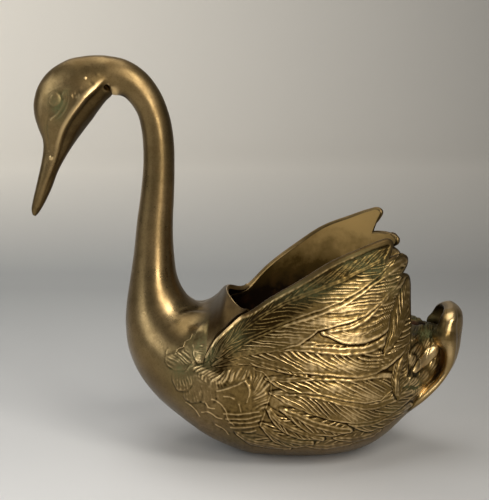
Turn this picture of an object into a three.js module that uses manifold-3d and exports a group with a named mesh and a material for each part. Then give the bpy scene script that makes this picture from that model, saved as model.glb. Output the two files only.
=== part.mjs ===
// Brass swan bowl: a swan whose hollow back is an open bowl between its raised wings.
// Thin brass castings are brazed edge to edge, left and right halves along the middle.
// Millimetres, +Z up. The swan looks towards -X and its left side is -Y.
// The origin lies on the table, below the middle of the swan's length.
import * as THREE from "three";
import { mergeVertices, toCreasedNormals } from "three/addons/utils/BufferGeometryUtils.js";
import Module from "manifold-3d";

const wasm = await Module();
wasm.setup();

const MIDDLE_X = 0.965; // x of the middle of the length in the measurements below

// Walls
const BODY_WALL = 3; // breast, deck and bowl
const FLOOR_WALL = 3.6; // metal over the flat foot
const NECK_WALL = 2.4;
const HEAD_WALL = 4;
const WING_PROUD = 1.6; // how far a wing stands out from the body's skin

// Joints
const BRAZE_GAP = 0.3; // between neighbouring castings
const WING_GAP = 0.3; // between a wing and the bowl wall below it
const DECK_GAP = 0.9; // between the deck and its neighbours
const SEAM_WIDTH = 2.4; // brazed bead along the middle
const SLEEVE_WALL = 2; // the head's sleeve inside the neck
const SLEEVE_LENGTH = 6;
const SLEEVE_CLEAR = 0.7;
const JOINT_BLOCK = 60; // the block that trims the neck flat where it meets the head

// Head details
const EYE_PLACE = [-132.7, 253]; // [x, z] in side view
const EYE_LENGTH = 9.4;
const EYE_WIDTH = 6.2;
const EYE_BULGE = 1.2;
const SOCKET_LENGTH = 19;
const SOCKET_WIDTH = 11;
const SOCKET_DEPTH = 1.1;
const VENT_RADIUS = 1.3; // casting vent in the throat
const VENT_DEPTH = 7;

// The skin is drawn by cross-sections from the head joint, down the neck, round the breast and
// along the hull. Each row: path position, back x, back z, front x, front z, half width, the
// widest place as a share of the way from back to front, and the fullness below that place.
// On the neck, back is the nape and front the throat. On the hull, front is the keel and back
// the point above the open bowl where the two sides would meet.
const SKIN = [
  [-262, -94.2, 278.1, -92.6, 254.9, 11.4, 0.5, 1],
  [-252, -82.1, 275.4, -86.5, 252.9, 11.2, 0.5, 1],
  [-240, -69.4, 267.2, -79.9, 246.7, 11, 0.5, 1],
  [-228, -60, 254.9, -75.2, 239.2, 10.8, 0.5, 1],
  [-214, -53.4, 238.5, -72.6, 229.5, 10.7, 0.5, 1],
  [-200, -50.5, 221.9, -71.4, 217, 10.8, 0.5, 1],
  [-180, -50, 201, -71.7, 199.6, 11, 0.5, 1],
  [-161, -50.6, 180.4, -73.7, 181.6, 11.8, 0.5, 1],
  [-142, -51.5, 161.6, -76.3, 163.6, 12.9, 0.5, 1],
  [-122, -51, 141.4, -78.7, 142.5, 14.6, 0.5, 1],
  [-103, -48.4, 122.9, -81.9, 121.4, 18, 0.5, 1],
  [-88, -42.2, 110.6, -84.6, 103.3, 23, 0.5, 1],
  [-77, -35.9, 105.5, -85.2, 88.7, 28.5, 0.5, 1],
  [-66, -31.7, 104, -83, 71.5, 35, 0.5, 1],
  [-56, -28.2, 104.4, -75.9, 55.1, 41, 0.5, 0.98],
  [-45, -24, 106.2, -63.3, 39, 47, 0.49, 0.95],
  [-33, -19.8, 109.9, -46.4, 24.8, 52.5, 0.47, 0.91],
  [-21, -14.9, 115.3, -28.7, 12.2, 57, 0.46, 0.88],
  [0, 0, 119.5, 0, 0.4, 60.5, 0.49, 0.85],
  [15, 15, 148.5, 15, -1, 62.5, 0.59, 0.85],
  [35, 35, 190.5, 35, -1.8, 64, 0.68, 0.85],
  [55, 55, 231, 55, -1.3, 63, 0.735, 0.86],
  [75, 75, 256, 75, 1.2, 58.5, 0.765, 0.89],
  [88, 88, 275, 88, 5.6, 53, 0.785, 0.93],
  [98, 98, 264, 98, 12.2, 48, 0.805, 0.97],
  [106, 106, 214, 106, 19.4, 42.5, 0.78, 1],
  [110, 110, 180, 110, 22.8, 39, 0.735, 1.02],
  [114, 114, 124, 114, 26.2, 35, 0.59, 1.02],
  [118, 118, 98, 118, 29.4, 30.5, 0.45, 1.02],
  [122, 122, 92, 122, 34, 25, 0.43, 1],
  [126, 126, 90, 126, 39, 19.5, 0.43, 1],
  [130, 130, 89, 130, 45, 13.5, 0.43, 1],
  [134, 134, 88, 134, 52, 7, 0.43, 1],
];
const HEAD_JOINT = -262;
const SADDLE = -50; // where the deck begins on the middle line
const BOWL_FRONT = -33;
const MOUTH_FRONT = -20; // the bowl mouth's front edge on the middle line
const MOUTH_CORNER = 0.5; // where that edge meets the wings
const TAIL_JOINT = 118;
const RUMP_END = 134;

// The head's cross-sections in the same form, from the neck over the cheeks to the bill's tip.
const HEAD_SKIN = [
  [0, -94.2, 278.1, -92.6, 254.9, 11.4, 0.5, 1],
  [7, -101.6, 278.7, -95.2, 250, 12, 0.52, 1],
  [15, -112, 277.7, -97.4, 246.2, 13.4, 0.56, 1.04],
  [23, -122, 275.4, -100, 242.6, 14.8, 0.6, 1.1],
  [31, -133.7, 268.4, -102.8, 238.8, 15.8, 0.64, 1.2],
  [39, -141.4, 258.8, -106, 234.3, 16.2, 0.66, 1.25],
  [47, -145.1, 248.1, -109.6, 229.8, 15.4, 0.67, 1.25],
  [55, -145.2, 238.5, -113.4, 224.8, 13.2, 0.66, 1.2],
  [63, -143.1, 230, -117, 220, 10.6, 0.64, 1.1],
  [71, -140, 221, -120.6, 214.8, 8.2, 0.6, 1],
  [80, -139.9, 213, -124.6, 208.4, 6.9, 0.56, 1],
  [92, -142, 201.8, -130.1, 198, 6, 0.52, 1],
  [105, -145, 189.6, -135.1, 185.8, 5.2, 0.5, 1],
  [118, -148.2, 176.8, -141, 174.2, 4, 0.5, 1],
  [124, -149.1, 171.4, -144, 169.6, 2.8, 0.5, 1],
  [128, -148.4, 168.2, -146, 167.4, 1.4, 0.5, 1],
];
const HOLLOW_END = 62; // the head is hollow from the neck up to here
const BILL_TIP = 128;
const VENT_AT = [3.5, -0.62]; // path position, and the place round the section

// Lines on the body's side, as [x, z] in side view
const WING_TOP = [
  [-27.8, 84], [-21.9, 93.6], [-15.4, 100], [-6.8, 106], [0.4, 110.3], [14.5, 122.4],
  [35, 136.4], [54.7, 149], [74.7, 157.4], [88.2, 161.4], [97.8, 162.6], [104, 156],
  [109.3, 145.6], [110.6, 130.9], [111.3, 113], [111.9, 89.2],
];
const WING_SEAM = [
  [-30.6, 74.6], [-15, 69], [5, 62], [25, 52.5], [45, 44], [65, 38.5], [85, 38.5], [97, 45.5],
  [104, 55.5], [108, 67], [110.7, 78.5], [111.9, 88],
];
const WING_CURVE = 98;
const WING_REAR = 111.9;
const RUMP_RIM = 88.5; // height of the low rim between the wings and the tail

// Gaps between the three feather tips of each wing, as outlines [x, z] in side view
const NOTCHES = [
  [[98.9, 166], [93, 148.4], [104, 146.8], [120, 144.7], [120, 166]],
  [[112, 144.8], [104.8, 138.8], [112, 131.2], [120, 131.2], [120, 144.8]],
];

// Tail fan, from under the stern up to its top: back x, back z, half width, thickness in the
// middle, how far the lips reach forward, their thickness, and the forward direction in
// degrees above -X.
const FAN = [
  [106.4, 20.1, 17, 5, 4, 6, 50],
  [115.4, 27.7, 19.5, 5, 5, 6.5, 50],
  [123.8, 35.1, 20.5, 5, 4, 6, 48],
  [130.7, 42.4, 19.5, 5, 3, 5.5, 45],
  [137.1, 49.8, 18, 5, 2.5, 5, 38],
  [142.6, 57.6, 16.6, 5, 2.5, 5.2, 27],
  [146.8, 65.8, 16.8, 5.5, 3.2, 7, 14],
  [149.1, 74, 17, 6.5, 4.2, 9, 5],
  [150, 81.5, 16, 7, 4.4, 9.6, 0],
  [150.8, 88.5, 16.2, 8.5, 5.4, 12, -3],
  [151, 94, 16.2, 10, 6, 13, -6],
  [150.4, 98.5, 15.2, 10, 5, 13, -8],
  [148.6, 101.8, 13, 9.5, 3.5, 11.5, -10],
  [146, 104.1, 9.5, 8.5, 1.5, 8.5, -12],
  [143, 105.2, 5, 5, 0.5, 5, -12],
];
const FAN_CUP = 2.4; // how late the fan curves up towards its lips
const MOUTH_TAIL = [117, 0, 93]; // middle of the hollow where the mouth runs out at the tail
const MOUTH_TAIL_RADII = [9, 17, 27];

const QUARTER = Math.PI / 2;
const STEP = 0.02; // for slopes of the skin
const PLACE_ERROR = 1e-4; // when a side view point is looked up on the skin
const LIP_ANGLES = [0.2, 0.4, 0.6, 0.8].map((share) => share * Math.PI);
const WALL_STEPS = 10;
const RING_STEPS = 12;
const BALL_STEPS = [14, 8]; // round and over an ellipsoid
const ROUND_SIDES = 16;
const CUT_MARGIN = 1; // how far a cutter reaches past what it cuts
const CREASE = 0.6; // radians; sharper edges stay sharp

const lerp = THREE.MathUtils.lerp;
const range = (count) => Array.from({ length: count }, (_, index) => index);
const spread = (from, to, count) => range(count + 1).map((i) => lerp(from, to, i / count));

// A surface through cross-sections. place runs along the path; round runs from -1 at the front
// line, over 0 at the widest place, to 1 at the back line, on the left side. inset shrinks
// every section by that much.
function loft(rows, inset = 0) {
  const table = new THREE.CubicInterpolant(
    rows.map((row) => row[0]),
    rows.flatMap((row) => row.slice(1)),
    rows[0].length - 1,
  );
  const section = (place) => {
    const [backX, backZ, frontX, frontZ, half, widest, fullness] = table.evaluate(place);
    const back = new THREE.Vector3(backX, 0, backZ);
    const front = new THREE.Vector3(frontX, 0, frontZ);
    const middle = back.clone().lerp(front, widest);
    const inwards = front.clone().sub(back).setLength(inset);
    back.add(inwards);
    front.sub(inwards);
    return { back, front, middle, half: half - inset, fullness };
  };
  const point = (place, round) => {
    const { back, front, middle, half, fullness } = section(place);
    const angle = Math.min(Math.abs(round), 1) * QUARTER;
    const power = round < 0 ? fullness : 1;
    const made = middle.lerp(round < 0 ? front : back, Math.sin(angle) ** power);
    made.y = -half * Math.max(Math.cos(angle), 0) ** power;
    return made;
  };
  const normal = (place, round) => {
    const kept = THREE.MathUtils.clamp(round, STEP - 1, 1 - STEP);
    const along = point(place + STEP, kept).sub(point(place - STEP, kept));
    const over = point(place, kept + STEP).sub(point(place, kept - STEP));
    const out = along.cross(over);
    if (Math.abs(round) === 1) out.setY(0);
    return out.normalize();
  };
  return { section, point, normal };
}

const skin = loft(SKIN);

// The [place, round] of a side view point, found by halving the stretch of path.
function lookUp(surface, [x, z], low, high) {
  const target = new THREE.Vector3(x, 0, z);
  const side = (place) => {
    const { back, front } = surface.section(place);
    const down = front.sub(back);
    const to = target.clone().sub(back);
    return Math.sign(down.x * to.z - down.z * to.x);
  };
  const ahead = side(high);
  while (high - low > PLACE_ERROR) {
    const half = (low + high) / 2;
    if (side(half) === ahead) high = half;
    else low = half;
  }
  const { back, front, middle, fullness } = surface.section(low);
  const upper = target.distanceTo(back) < middle.distanceTo(back);
  const end = upper ? back : front;
  const share = Math.min(1, target.distanceTo(middle) / end.distanceTo(middle));
  const angle = Math.asin(upper ? share : share ** (1 / fullness));
  return [low, (upper ? angle : -angle) / QUARTER];
}

// A side view line as a function from place to round.
function lineOnSkin(points) {
  const found = points.map((p) => lookUp(skin, p, SADDLE, RUMP_END));
  const curve = new THREE.CubicInterpolant(
    found.map((f) => f[0]),
    found.map((f) => f[1]),
    1,
  );
  return (place) => curve.evaluate(place)[0];
}

const wingTop = lineOnSkin(WING_TOP);
const wingSeam = lineOnSkin(WING_SEAM);
const rumpRim = (place) => lookUp(skin, [place, RUMP_RIM], place - 1, place + 1)[1];

// How much round changes per millimetre on the skin
const perMillimetre = (place, round) =>
  (2 * STEP) / skin.point(place, round - STEP).distanceTo(skin.point(place, round + STEP));

// The share of round that keeps a gap square to a line on the skin, however steep the line
function clearOf(line, place, gap) {
  const scale = perMillimetre(place, line(place));
  const rise = (line(place + STEP) - line(place - STEP)) / (2 * STEP) / scale;
  return gap * scale * Math.hypot(1, rise);
}

// A body from rings of equally many points, joined one after the other and closed at both
// ends. Point k of a ring lies across from point -1-k.
function bodyOfRings(rings) {
  const count = rings[0].length;
  const index = [];
  const quad = (a, b, c, d) => index.push(a, b, c, a, c, d);
  for (let i = 0; i < rings.length - 1; i += 1) {
    for (let k = 0; k < count; k += 1) {
      const next = (k + 1) % count;
      quad(i * count + k, i * count + next, (i + 1) * count + next, (i + 1) * count + k);
    }
  }
  const last = (rings.length - 1) * count;
  for (let k = 0; k < count / 2 - 1; k += 1) {
    const across = count - 1 - k;
    quad(k, across, across - 1, k + 1);
    quad(last + k, last + k + 1, last + across - 1, last + across);
  }
  const points = rings.flat();
  let volume = 0;
  for (let i = 0; i < index.length; i += 3) {
    const [a, b, c] = index.slice(i, i + 3).map((p) => points[p]);
    volume += a.dot(b.clone().cross(c));
  }
  const geometry = new THREE.BufferGeometry();
  geometry.setAttribute(
    "position",
    new THREE.Float32BufferAttribute(points.flatMap((p) => [p.x, p.y, p.z]), 3),
  );
  geometry.setIndex(volume < 0 ? index.reverse() : index);
  return geometry;
}

// A point at a depth below the skin, kept off the middle and off the table.
function skinPoint(place, round, depth, middleGap) {
  const point = skin.point(place, round).addScaledVector(skin.normal(place, round), -depth);
  point.y = Math.min(point.y, -middleGap);
  point.z = Math.max(point.z, depth > 0 ? FLOOR_WALL : 0);
  return point;
}

// A ring round the wall between two places on one section, with a rounded lip on request.
function wallRing({ place, low, high, outer = 0, wall, lip = false, middleGap }) {
  const top = lip ? high - perMillimetre(place, high) * ((wall - outer) / 2) : high;
  const rounds = spread(low, top, WALL_STEPS);
  const outside = rounds.map((round) => skinPoint(place, round, outer, middleGap));
  const inside = rounds.map((round) => skinPoint(place, round, wall, middleGap));
  const up = skin.point(place, top).sub(skin.point(place, top - STEP)).normalize();
  const edge = lip ? halfRound(outside.at(-1), inside.at(-1), up) : [];
  return [...outside, ...edge, ...inside.reverse()];
}

// Points of a half round edge that bulges outwards between two points
function halfRound(from, to, outwards) {
  const radius = from.distanceTo(to) / 2;
  return LIP_ANGLES.map((angle) =>
    from
      .clone()
      .lerp(to, (1 - Math.cos(angle)) / 2)
      .addScaledVector(outwards, Math.sin(angle) * radius),
  );
}

const mirrored = (points) => points.map((p) => new THREE.Vector3(p.x, -p.y, p.z));
const mirrorRings = (rings) => rings.map(mirrored);

function toSolid(geometry) {
  const bare = new THREE.BufferGeometry();
  bare.setAttribute("position", geometry.getAttribute("position").clone());
  if (geometry.index) bare.setIndex(geometry.index.clone());
  const merged = mergeVertices(bare, PLACE_ERROR);
  return new wasm.Manifold(
    new wasm.Mesh({
      numProp: 3,
      vertProperties: new Float32Array(merged.getAttribute("position").array),
      triVerts: new Uint32Array(merged.index.array),
    }),
  );
}

function fromSolid(solid) {
  const mesh = solid.getMesh();
  const geometry = new THREE.BufferGeometry();
  geometry.setAttribute("position", new THREE.BufferAttribute(mesh.vertProperties, 3));
  geometry.setIndex(new THREE.BufferAttribute(mesh.triVerts, 1));
  return geometry;
}

// A full ring round a section, both sides
function fullRing(surface, place) {
  const rounds = range(RING_STEPS).map((i) => ((i + 0.5) / RING_STEPS) * 2 - 1);
  const left = rounds.map((round) => surface.point(place, round));
  return [...left, ...mirrored(left).reverse()];
}

const fullBody = (surface, from, to, count) =>
  spread(from, to, count).map((place) => fullRing(surface, place));

function ellipsoid(radii, centre, turn = new THREE.Quaternion()) {
  const shape = new THREE.SphereGeometry(1, ...BALL_STEPS).scale(...radii);
  return toSolid(shape.applyQuaternion(turn).translate(...centre));
}

// Materials
const brass = (color, roughness) => ({ color, roughness, metalness: 1 });
const SMOOTH = brass("#8f7448", 0.38);
const FEATHERED = brass("#9c8350", 0.48);
const BRAZE = brass("#a58a52", 0.42);

const swan = new THREE.Group();
swan.name = "brass_swan_bowl";

function add(name, geometry, finish) {
  const mesh = new THREE.Mesh(
    toCreasedNormals(geometry.translate(-MIDDLE_X, 0, 0), CREASE),
    new THREE.MeshStandardMaterial({ ...finish, name: `${name}_brass` }),
  );
  mesh.name = name;
  swan.add(mesh);
}

// A left and a right piece from the same rings, each trimmed by the cut on request
function addPair(name, rings, finish, cut = (solid) => solid) {
  add(`${name}_left`, fromSolid(cut(toSolid(bodyOfRings(rings)))), finish);
  add(`${name}_right`, fromSolid(cut(toSolid(bodyOfRings(mirrorRings(rings))))), finish);
}

// Neck and breast, one hollow half on each side
const HALF_GAP = SEAM_WIDTH / 2 + BRAZE_GAP;
const NECK_ROWS = 26;
const NECK_TAPER = -108; // the wall starts to thicken here
const NECK_FOOT = -88;
const BREAST_ROWS = 12;
const shoulder = (place) => {
  const share = THREE.MathUtils.clamp((place - SADDLE) / (BOWL_FRONT - SADDLE), 0, 1);
  return lerp(1, wingTop(BOWL_FRONT), share);
};
const neckWall = (place) =>
  lerp(NECK_WALL, BODY_WALL, THREE.MathUtils.smoothstep(place, NECK_TAPER, NECK_FOOT));
const neckPlaces = [
  ...spread(HEAD_JOINT, NECK_FOOT, NECK_ROWS),
  ...spread(NECK_FOOT, BOWL_FRONT - BRAZE_GAP, BREAST_ROWS).slice(1),
];
const halfOfNeck = neckPlaces.map((place) => {
  const edge = shoulder(place);
  return wallRing({
    place,
    low: -1,
    high: edge < 1 ? edge - clearOf(shoulder, place, BRAZE_GAP) : 1,
    wall: neckWall(place),
    middleGap: HALF_GAP,
  });
});
const joint = skin.section(HEAD_JOINT);
const jointUp = joint.back.clone().sub(joint.front).normalize();
const jointOut = new THREE.Vector3(-jointUp.z, 0, jointUp.x);
const jointTurn = new THREE.Matrix4().makeBasis(jointOut, new THREE.Vector3(0, -1, 0), jointUp);
jointTurn.setPosition(joint.middle.addScaledVector(jointOut, JOINT_BLOCK / 2));
const jointBlock = new THREE.BoxGeometry(JOINT_BLOCK, JOINT_BLOCK, JOINT_BLOCK);
const jointCutter = toSolid(jointBlock.applyMatrix4(jointTurn));
const cutAtHead = (solid) => solid.subtract(jointCutter);
addPair("neck_and_breast", halfOfNeck, SMOOTH, cutAtHead);

// Deck: the arch between the wing roots that ends at the bowl mouth's front edge
const DECK_STEPS = 12; // from the middle to each side
const DECK_END = 0.96; // share of the way to the mouth's corner
const MOUTH_CURVE = 2; // how late the mouth's front edge turns back towards the wings
const deckRing = (across) => {
  const share = Math.min(Math.abs(across), 1) * DECK_END;
  const startPlace = lerp(SADDLE, MOUTH_CORNER, share);
  const startEdge =
    startPlace < BOWL_FRONT ? shoulder(startPlace) : wingTop(startPlace);
  const start = Math.min(1, startEdge + DECK_GAP * perMillimetre(startPlace, startEdge));
  const endPlace = lerp(MOUTH_FRONT, MOUTH_CORNER, share ** MOUTH_CURVE);
  const end = lerp(1, wingTop(MOUTH_CORNER), share);
  const line = spread(0, 1, WALL_STEPS).map((t) => [
    lerp(startPlace, endPlace, t),
    lerp(start, end, t),
  ]);
  const outside = line.map(([place, round]) => skinPoint(place, round, 0, 0));
  const inside = line.map(([place, round]) => skinPoint(place, round, BODY_WALL, 0));
  const ring = [...outside, ...inside.reverse()];
  return across > 0 ? mirrored(ring) : ring;
};
add("deck", bodyOfRings(spread(-1, 1, DECK_STEPS * 2).map(deckRing)), SMOOTH);

// Bowl: the lower walls below the wings, with the flat foot and the rump
const HULL_ROWS = 24;
const REAR_ROWS = 12; // closer together where the wings curve inwards
const RUMP_ROWS = 4;
const wingPlaces = [
  ...spread(BOWL_FRONT, WING_CURVE, HULL_ROWS),
  ...spread(WING_CURVE, WING_REAR, REAR_ROWS).slice(1),
];
const bowlPlaces = [...wingPlaces, ...spread(WING_REAR, TAIL_JOINT, RUMP_ROWS).slice(1)];
const bowlHalf = bowlPlaces.map((place) => {
  const edge = place > WING_REAR ? rumpRim(place) : wingSeam(place);
  return wallRing({ place, low: -1, high: edge, wall: BODY_WALL, middleGap: HALF_GAP });
});
addPair("bowl", bowlHalf, FEATHERED);

// Wings: the upper walls, proud of the body, with the rim and three feather tips
const LEAST_HEIGHT = 3; // of a wing's wall at its rear end
const wingRings = wingPlaces.map((place) => {
  const low = wingSeam(place) + clearOf(wingSeam, place, WING_GAP);
  const high = Math.max(wingTop(place), low + LEAST_HEIGHT * perMillimetre(place, low));
  return wallRing({
    place, low, high, outer: -WING_PROUD, wall: BODY_WALL, lip: true, middleGap: HALF_GAP,
  });
});
const halfWidths = SKIN.map((row) => row[5]);
const notchReach = Math.max(...halfWidths) + WING_PROUD + CUT_MARGIN; // to each side
const notchCutter = (corners) => {
  const outline = new THREE.Shape(corners.map(([x, z]) => new THREE.Vector2(x, z)));
  const through = { depth: notchReach * 2, bevelEnabled: false };
  const prism = new THREE.ExtrudeGeometry(outline, through);
  return toSolid(prism.rotateX(QUARTER).translate(0, notchReach, 0));
};
const cutNotches = (solid) =>
  NOTCHES.reduce((wing, corners) => wing.subtract(notchCutter(corners)), solid);
addPair("wing", wingRings, FEATHERED, cutNotches);

// Head, with its sleeve that reaches into the neck, the eyes and the vent in the throat
const headSkin = loft(HEAD_SKIN);
const headHollow = loft(HEAD_SKIN, HEAD_WALL);
const SLEEVE_ROOT = 3; // how far the sleeve starts inside the head
const SLEEVE_ROWS = 3;
const HEAD_ROWS = 28;
const sleeve = (inset, extra) => {
  const inHead = fullBody(loft(HEAD_SKIN, inset), SLEEVE_ROOT + extra, 0, SLEEVE_ROWS);
  const neckEnd = HEAD_JOINT + SLEEVE_LENGTH + extra;
  const inNeck = fullBody(loft(SKIN, inset), HEAD_JOINT, neckEnd, SLEEVE_ROWS).slice(1);
  return toSolid(bodyOfRings([...inHead, ...inNeck]));
};
const sleeveInset = NECK_WALL + SLEEVE_CLEAR;
let head = toSolid(bodyOfRings(fullBody(headSkin, BRAZE_GAP, BILL_TIP, HEAD_ROWS)))
  .subtract(toSolid(bodyOfRings(fullBody(headHollow, 0, HOLLOW_END, HEAD_ROWS / 2))))
  .add(sleeve(sleeveInset, 0))
  .subtract(sleeve(sleeveInset + SLEEVE_WALL, CUT_MARGIN));

const eye = lookUp(headSkin, EYE_PLACE, 0, HOLLOW_END);
const eyeCentre = headSkin.point(...eye);
const eyeOut = headSkin.normal(...eye);
const eyeAhead = headSkin.point(eye[0] + STEP, eye[1]).sub(eyeCentre);
const socketRadii = [SOCKET_WIDTH / 2, SOCKET_LENGTH / 2, SOCKET_DEPTH];
const eyeRadii = [EYE_WIDTH / 2, EYE_LENGTH / 2, EYE_BULGE];
for (const side of [1, -1]) {
  const [centre, out, ahead] = [eyeCentre, eyeOut, eyeAhead].map(
    (v) => new THREE.Vector3(v.x, v.y * side, v.z),
  );
  const across = ahead.cross(out).normalize();
  const along = out.clone().cross(across);
  const turn = new THREE.Quaternion().setFromRotationMatrix(
    new THREE.Matrix4().makeBasis(across, along, out),
  );
  head = head
    .subtract(ellipsoid(socketRadii, centre, turn))
    .add(ellipsoid(eyeRadii, centre, turn));
}

const ventOut = headSkin.normal(...VENT_AT);
const vent = new THREE.CylinderGeometry(VENT_RADIUS, VENT_RADIUS, VENT_DEPTH, ROUND_SIDES);
vent.applyQuaternion(
  new THREE.Quaternion().setFromUnitVectors(new THREE.Vector3(0, 1, 0), ventOut),
);
vent.translate(...headSkin.point(...VENT_AT).toArray());
head = head.subtract(toSolid(vent));
add("head", fromSolid(head), SMOOTH);

// Brazed seams along the middle: under the throat, breast and keel, and down the nape
const seamRing = (place, round) => {
  const half = SEAM_WIDTH / 2;
  const outer = skinPoint(place, round, 0, 0);
  const inner = skinPoint(place, round, neckWall(place), 0);
  return [
    outer.clone().setY(-half), outer.clone().setY(half),
    inner.clone().setY(half), inner.clone().setY(-half),
  ];
};
const SEAM_ROWS = 60;
const keelPlaces = spread(HEAD_JOINT, TAIL_JOINT, SEAM_ROWS);
const napePlaces = spread(HEAD_JOINT, SADDLE - DECK_GAP, SEAM_ROWS / 2);
const seam = (places, round) =>
  cutAtHead(toSolid(bodyOfRings(places.map((place) => seamRing(place, round)))));
add("seam_front", fromSolid(seam(keelPlaces, -1)), BRAZE);
add("seam_nape", fromSolid(seam(napePlaces, 1)), BRAZE);

// Tail: the solid end of the rump with the cupped fan round it
const FAN_STEPS = 12;
const PLUG_ROWS = 10;
const fanRing = ([x, z, width, middle, reach, lip, degrees]) => {
  const angle = THREE.MathUtils.degToRad(degrees);
  const forward = new THREE.Vector3(-Math.cos(angle), 0, Math.sin(angle));
  const at = (share, inner) => {
    const cup = Math.abs(share) ** FAN_CUP;
    const ahead = reach * cup + (inner ? lerp(middle, lip, cup) : 0);
    return new THREE.Vector3(x, share * width, z).addScaledVector(forward, ahead);
  };
  const shares = spread(-1, 1, FAN_STEPS);
  const outside = shares.map((share) => at(share, false));
  const inside = shares.map((share) => at(share, true)).reverse();
  const right = halfRound(outside.at(-1), inside[0], new THREE.Vector3(0, 1, 0));
  const left = halfRound(inside.at(-1), outside[0], new THREE.Vector3(0, -1, 0));
  return [...left.slice(2), ...outside, ...right, ...inside, ...left.slice(0, 2)];
};
const fanTable = new THREE.CubicInterpolant(range(FAN.length), FAN.flat(), FAN[0].length);
const lastRow = FAN.length - 1;
const fanRings = spread(0, lastRow, lastRow * 2).map((row) => fanRing([...fanTable.evaluate(row)]));
const plug = toSolid(bodyOfRings(fullBody(skin, TAIL_JOINT, RUMP_END, PLUG_ROWS)))
  .trimByPlane([0, 0, -1], -RUMP_RIM)
  .subtract(ellipsoid(MOUTH_TAIL_RADII, MOUTH_TAIL));
const tail = toSolid(bodyOfRings(fanRings))
  .add(plug)
  .trimByPlane([1, 0, 0], TAIL_JOINT + BRAZE_GAP);
add("tail_fan", fromSolid(tail), SMOOTH);

export default swan;
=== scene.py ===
"""A cast brass swan bowl, aged, with feathers carved over the wings and the hull."""

import math

import bpy
import numpy as np
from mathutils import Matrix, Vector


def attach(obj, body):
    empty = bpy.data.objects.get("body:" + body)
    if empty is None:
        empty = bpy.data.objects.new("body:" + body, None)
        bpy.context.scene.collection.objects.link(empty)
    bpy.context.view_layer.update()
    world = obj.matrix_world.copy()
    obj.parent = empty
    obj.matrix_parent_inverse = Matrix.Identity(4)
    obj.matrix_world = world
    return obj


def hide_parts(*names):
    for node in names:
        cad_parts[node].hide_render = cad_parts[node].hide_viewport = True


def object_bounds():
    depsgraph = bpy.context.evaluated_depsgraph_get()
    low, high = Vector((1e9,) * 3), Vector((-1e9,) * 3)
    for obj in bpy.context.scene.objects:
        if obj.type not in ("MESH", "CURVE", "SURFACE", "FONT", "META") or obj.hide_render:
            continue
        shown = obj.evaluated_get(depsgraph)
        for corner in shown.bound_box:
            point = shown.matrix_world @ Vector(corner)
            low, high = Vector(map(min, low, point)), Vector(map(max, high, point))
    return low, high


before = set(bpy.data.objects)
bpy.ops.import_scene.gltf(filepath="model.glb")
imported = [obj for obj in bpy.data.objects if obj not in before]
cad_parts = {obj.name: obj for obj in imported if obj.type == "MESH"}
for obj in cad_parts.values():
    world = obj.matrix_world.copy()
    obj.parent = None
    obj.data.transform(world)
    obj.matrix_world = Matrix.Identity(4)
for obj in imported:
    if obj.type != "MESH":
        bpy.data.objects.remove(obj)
model_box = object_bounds()

# Sizes, in millimetres. A place runs from the head's joint down the neck and along the hull; from
# the saddle's end on it is the distance behind the drawing's zero. A turn runs round a section,
# from -1 on the front or keel line to 1 on the nape or back line.
MIDDLE_X = 0.965  # the middle of the foot print lies this far behind the drawing's zero
BODY_WALL = 3
NECK_WALL = 2.4
FLOOR_WALL = 3.6
WING_PROUD = 1.6  # the carving stays within this height over the hull
SEAM_HALF = 1.2
HEAD_JOINT = -262  # places at which castings begin and end, from the head to the tail
NECK_FOOT = -88
SADDLE = -50
BOWL_FRONT = -33
MOUTH_FRONT = -20
MOUTH_CORNER = 0.5
WING_REAR = 111.9
TAIL_JOINT = 118
RUMP_END = 134
RUMP_RIM = 88.5  # height of the rump's upper edge
BILL_TIP = 128  # on the head's own row of places
WINGS = (-66, TAIL_JOINT)  # the places between which the wings' lines are looked for
QUARTER = math.pi / 2
STEP = 0.02  # how far apart points are taken to tell a slope

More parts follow.
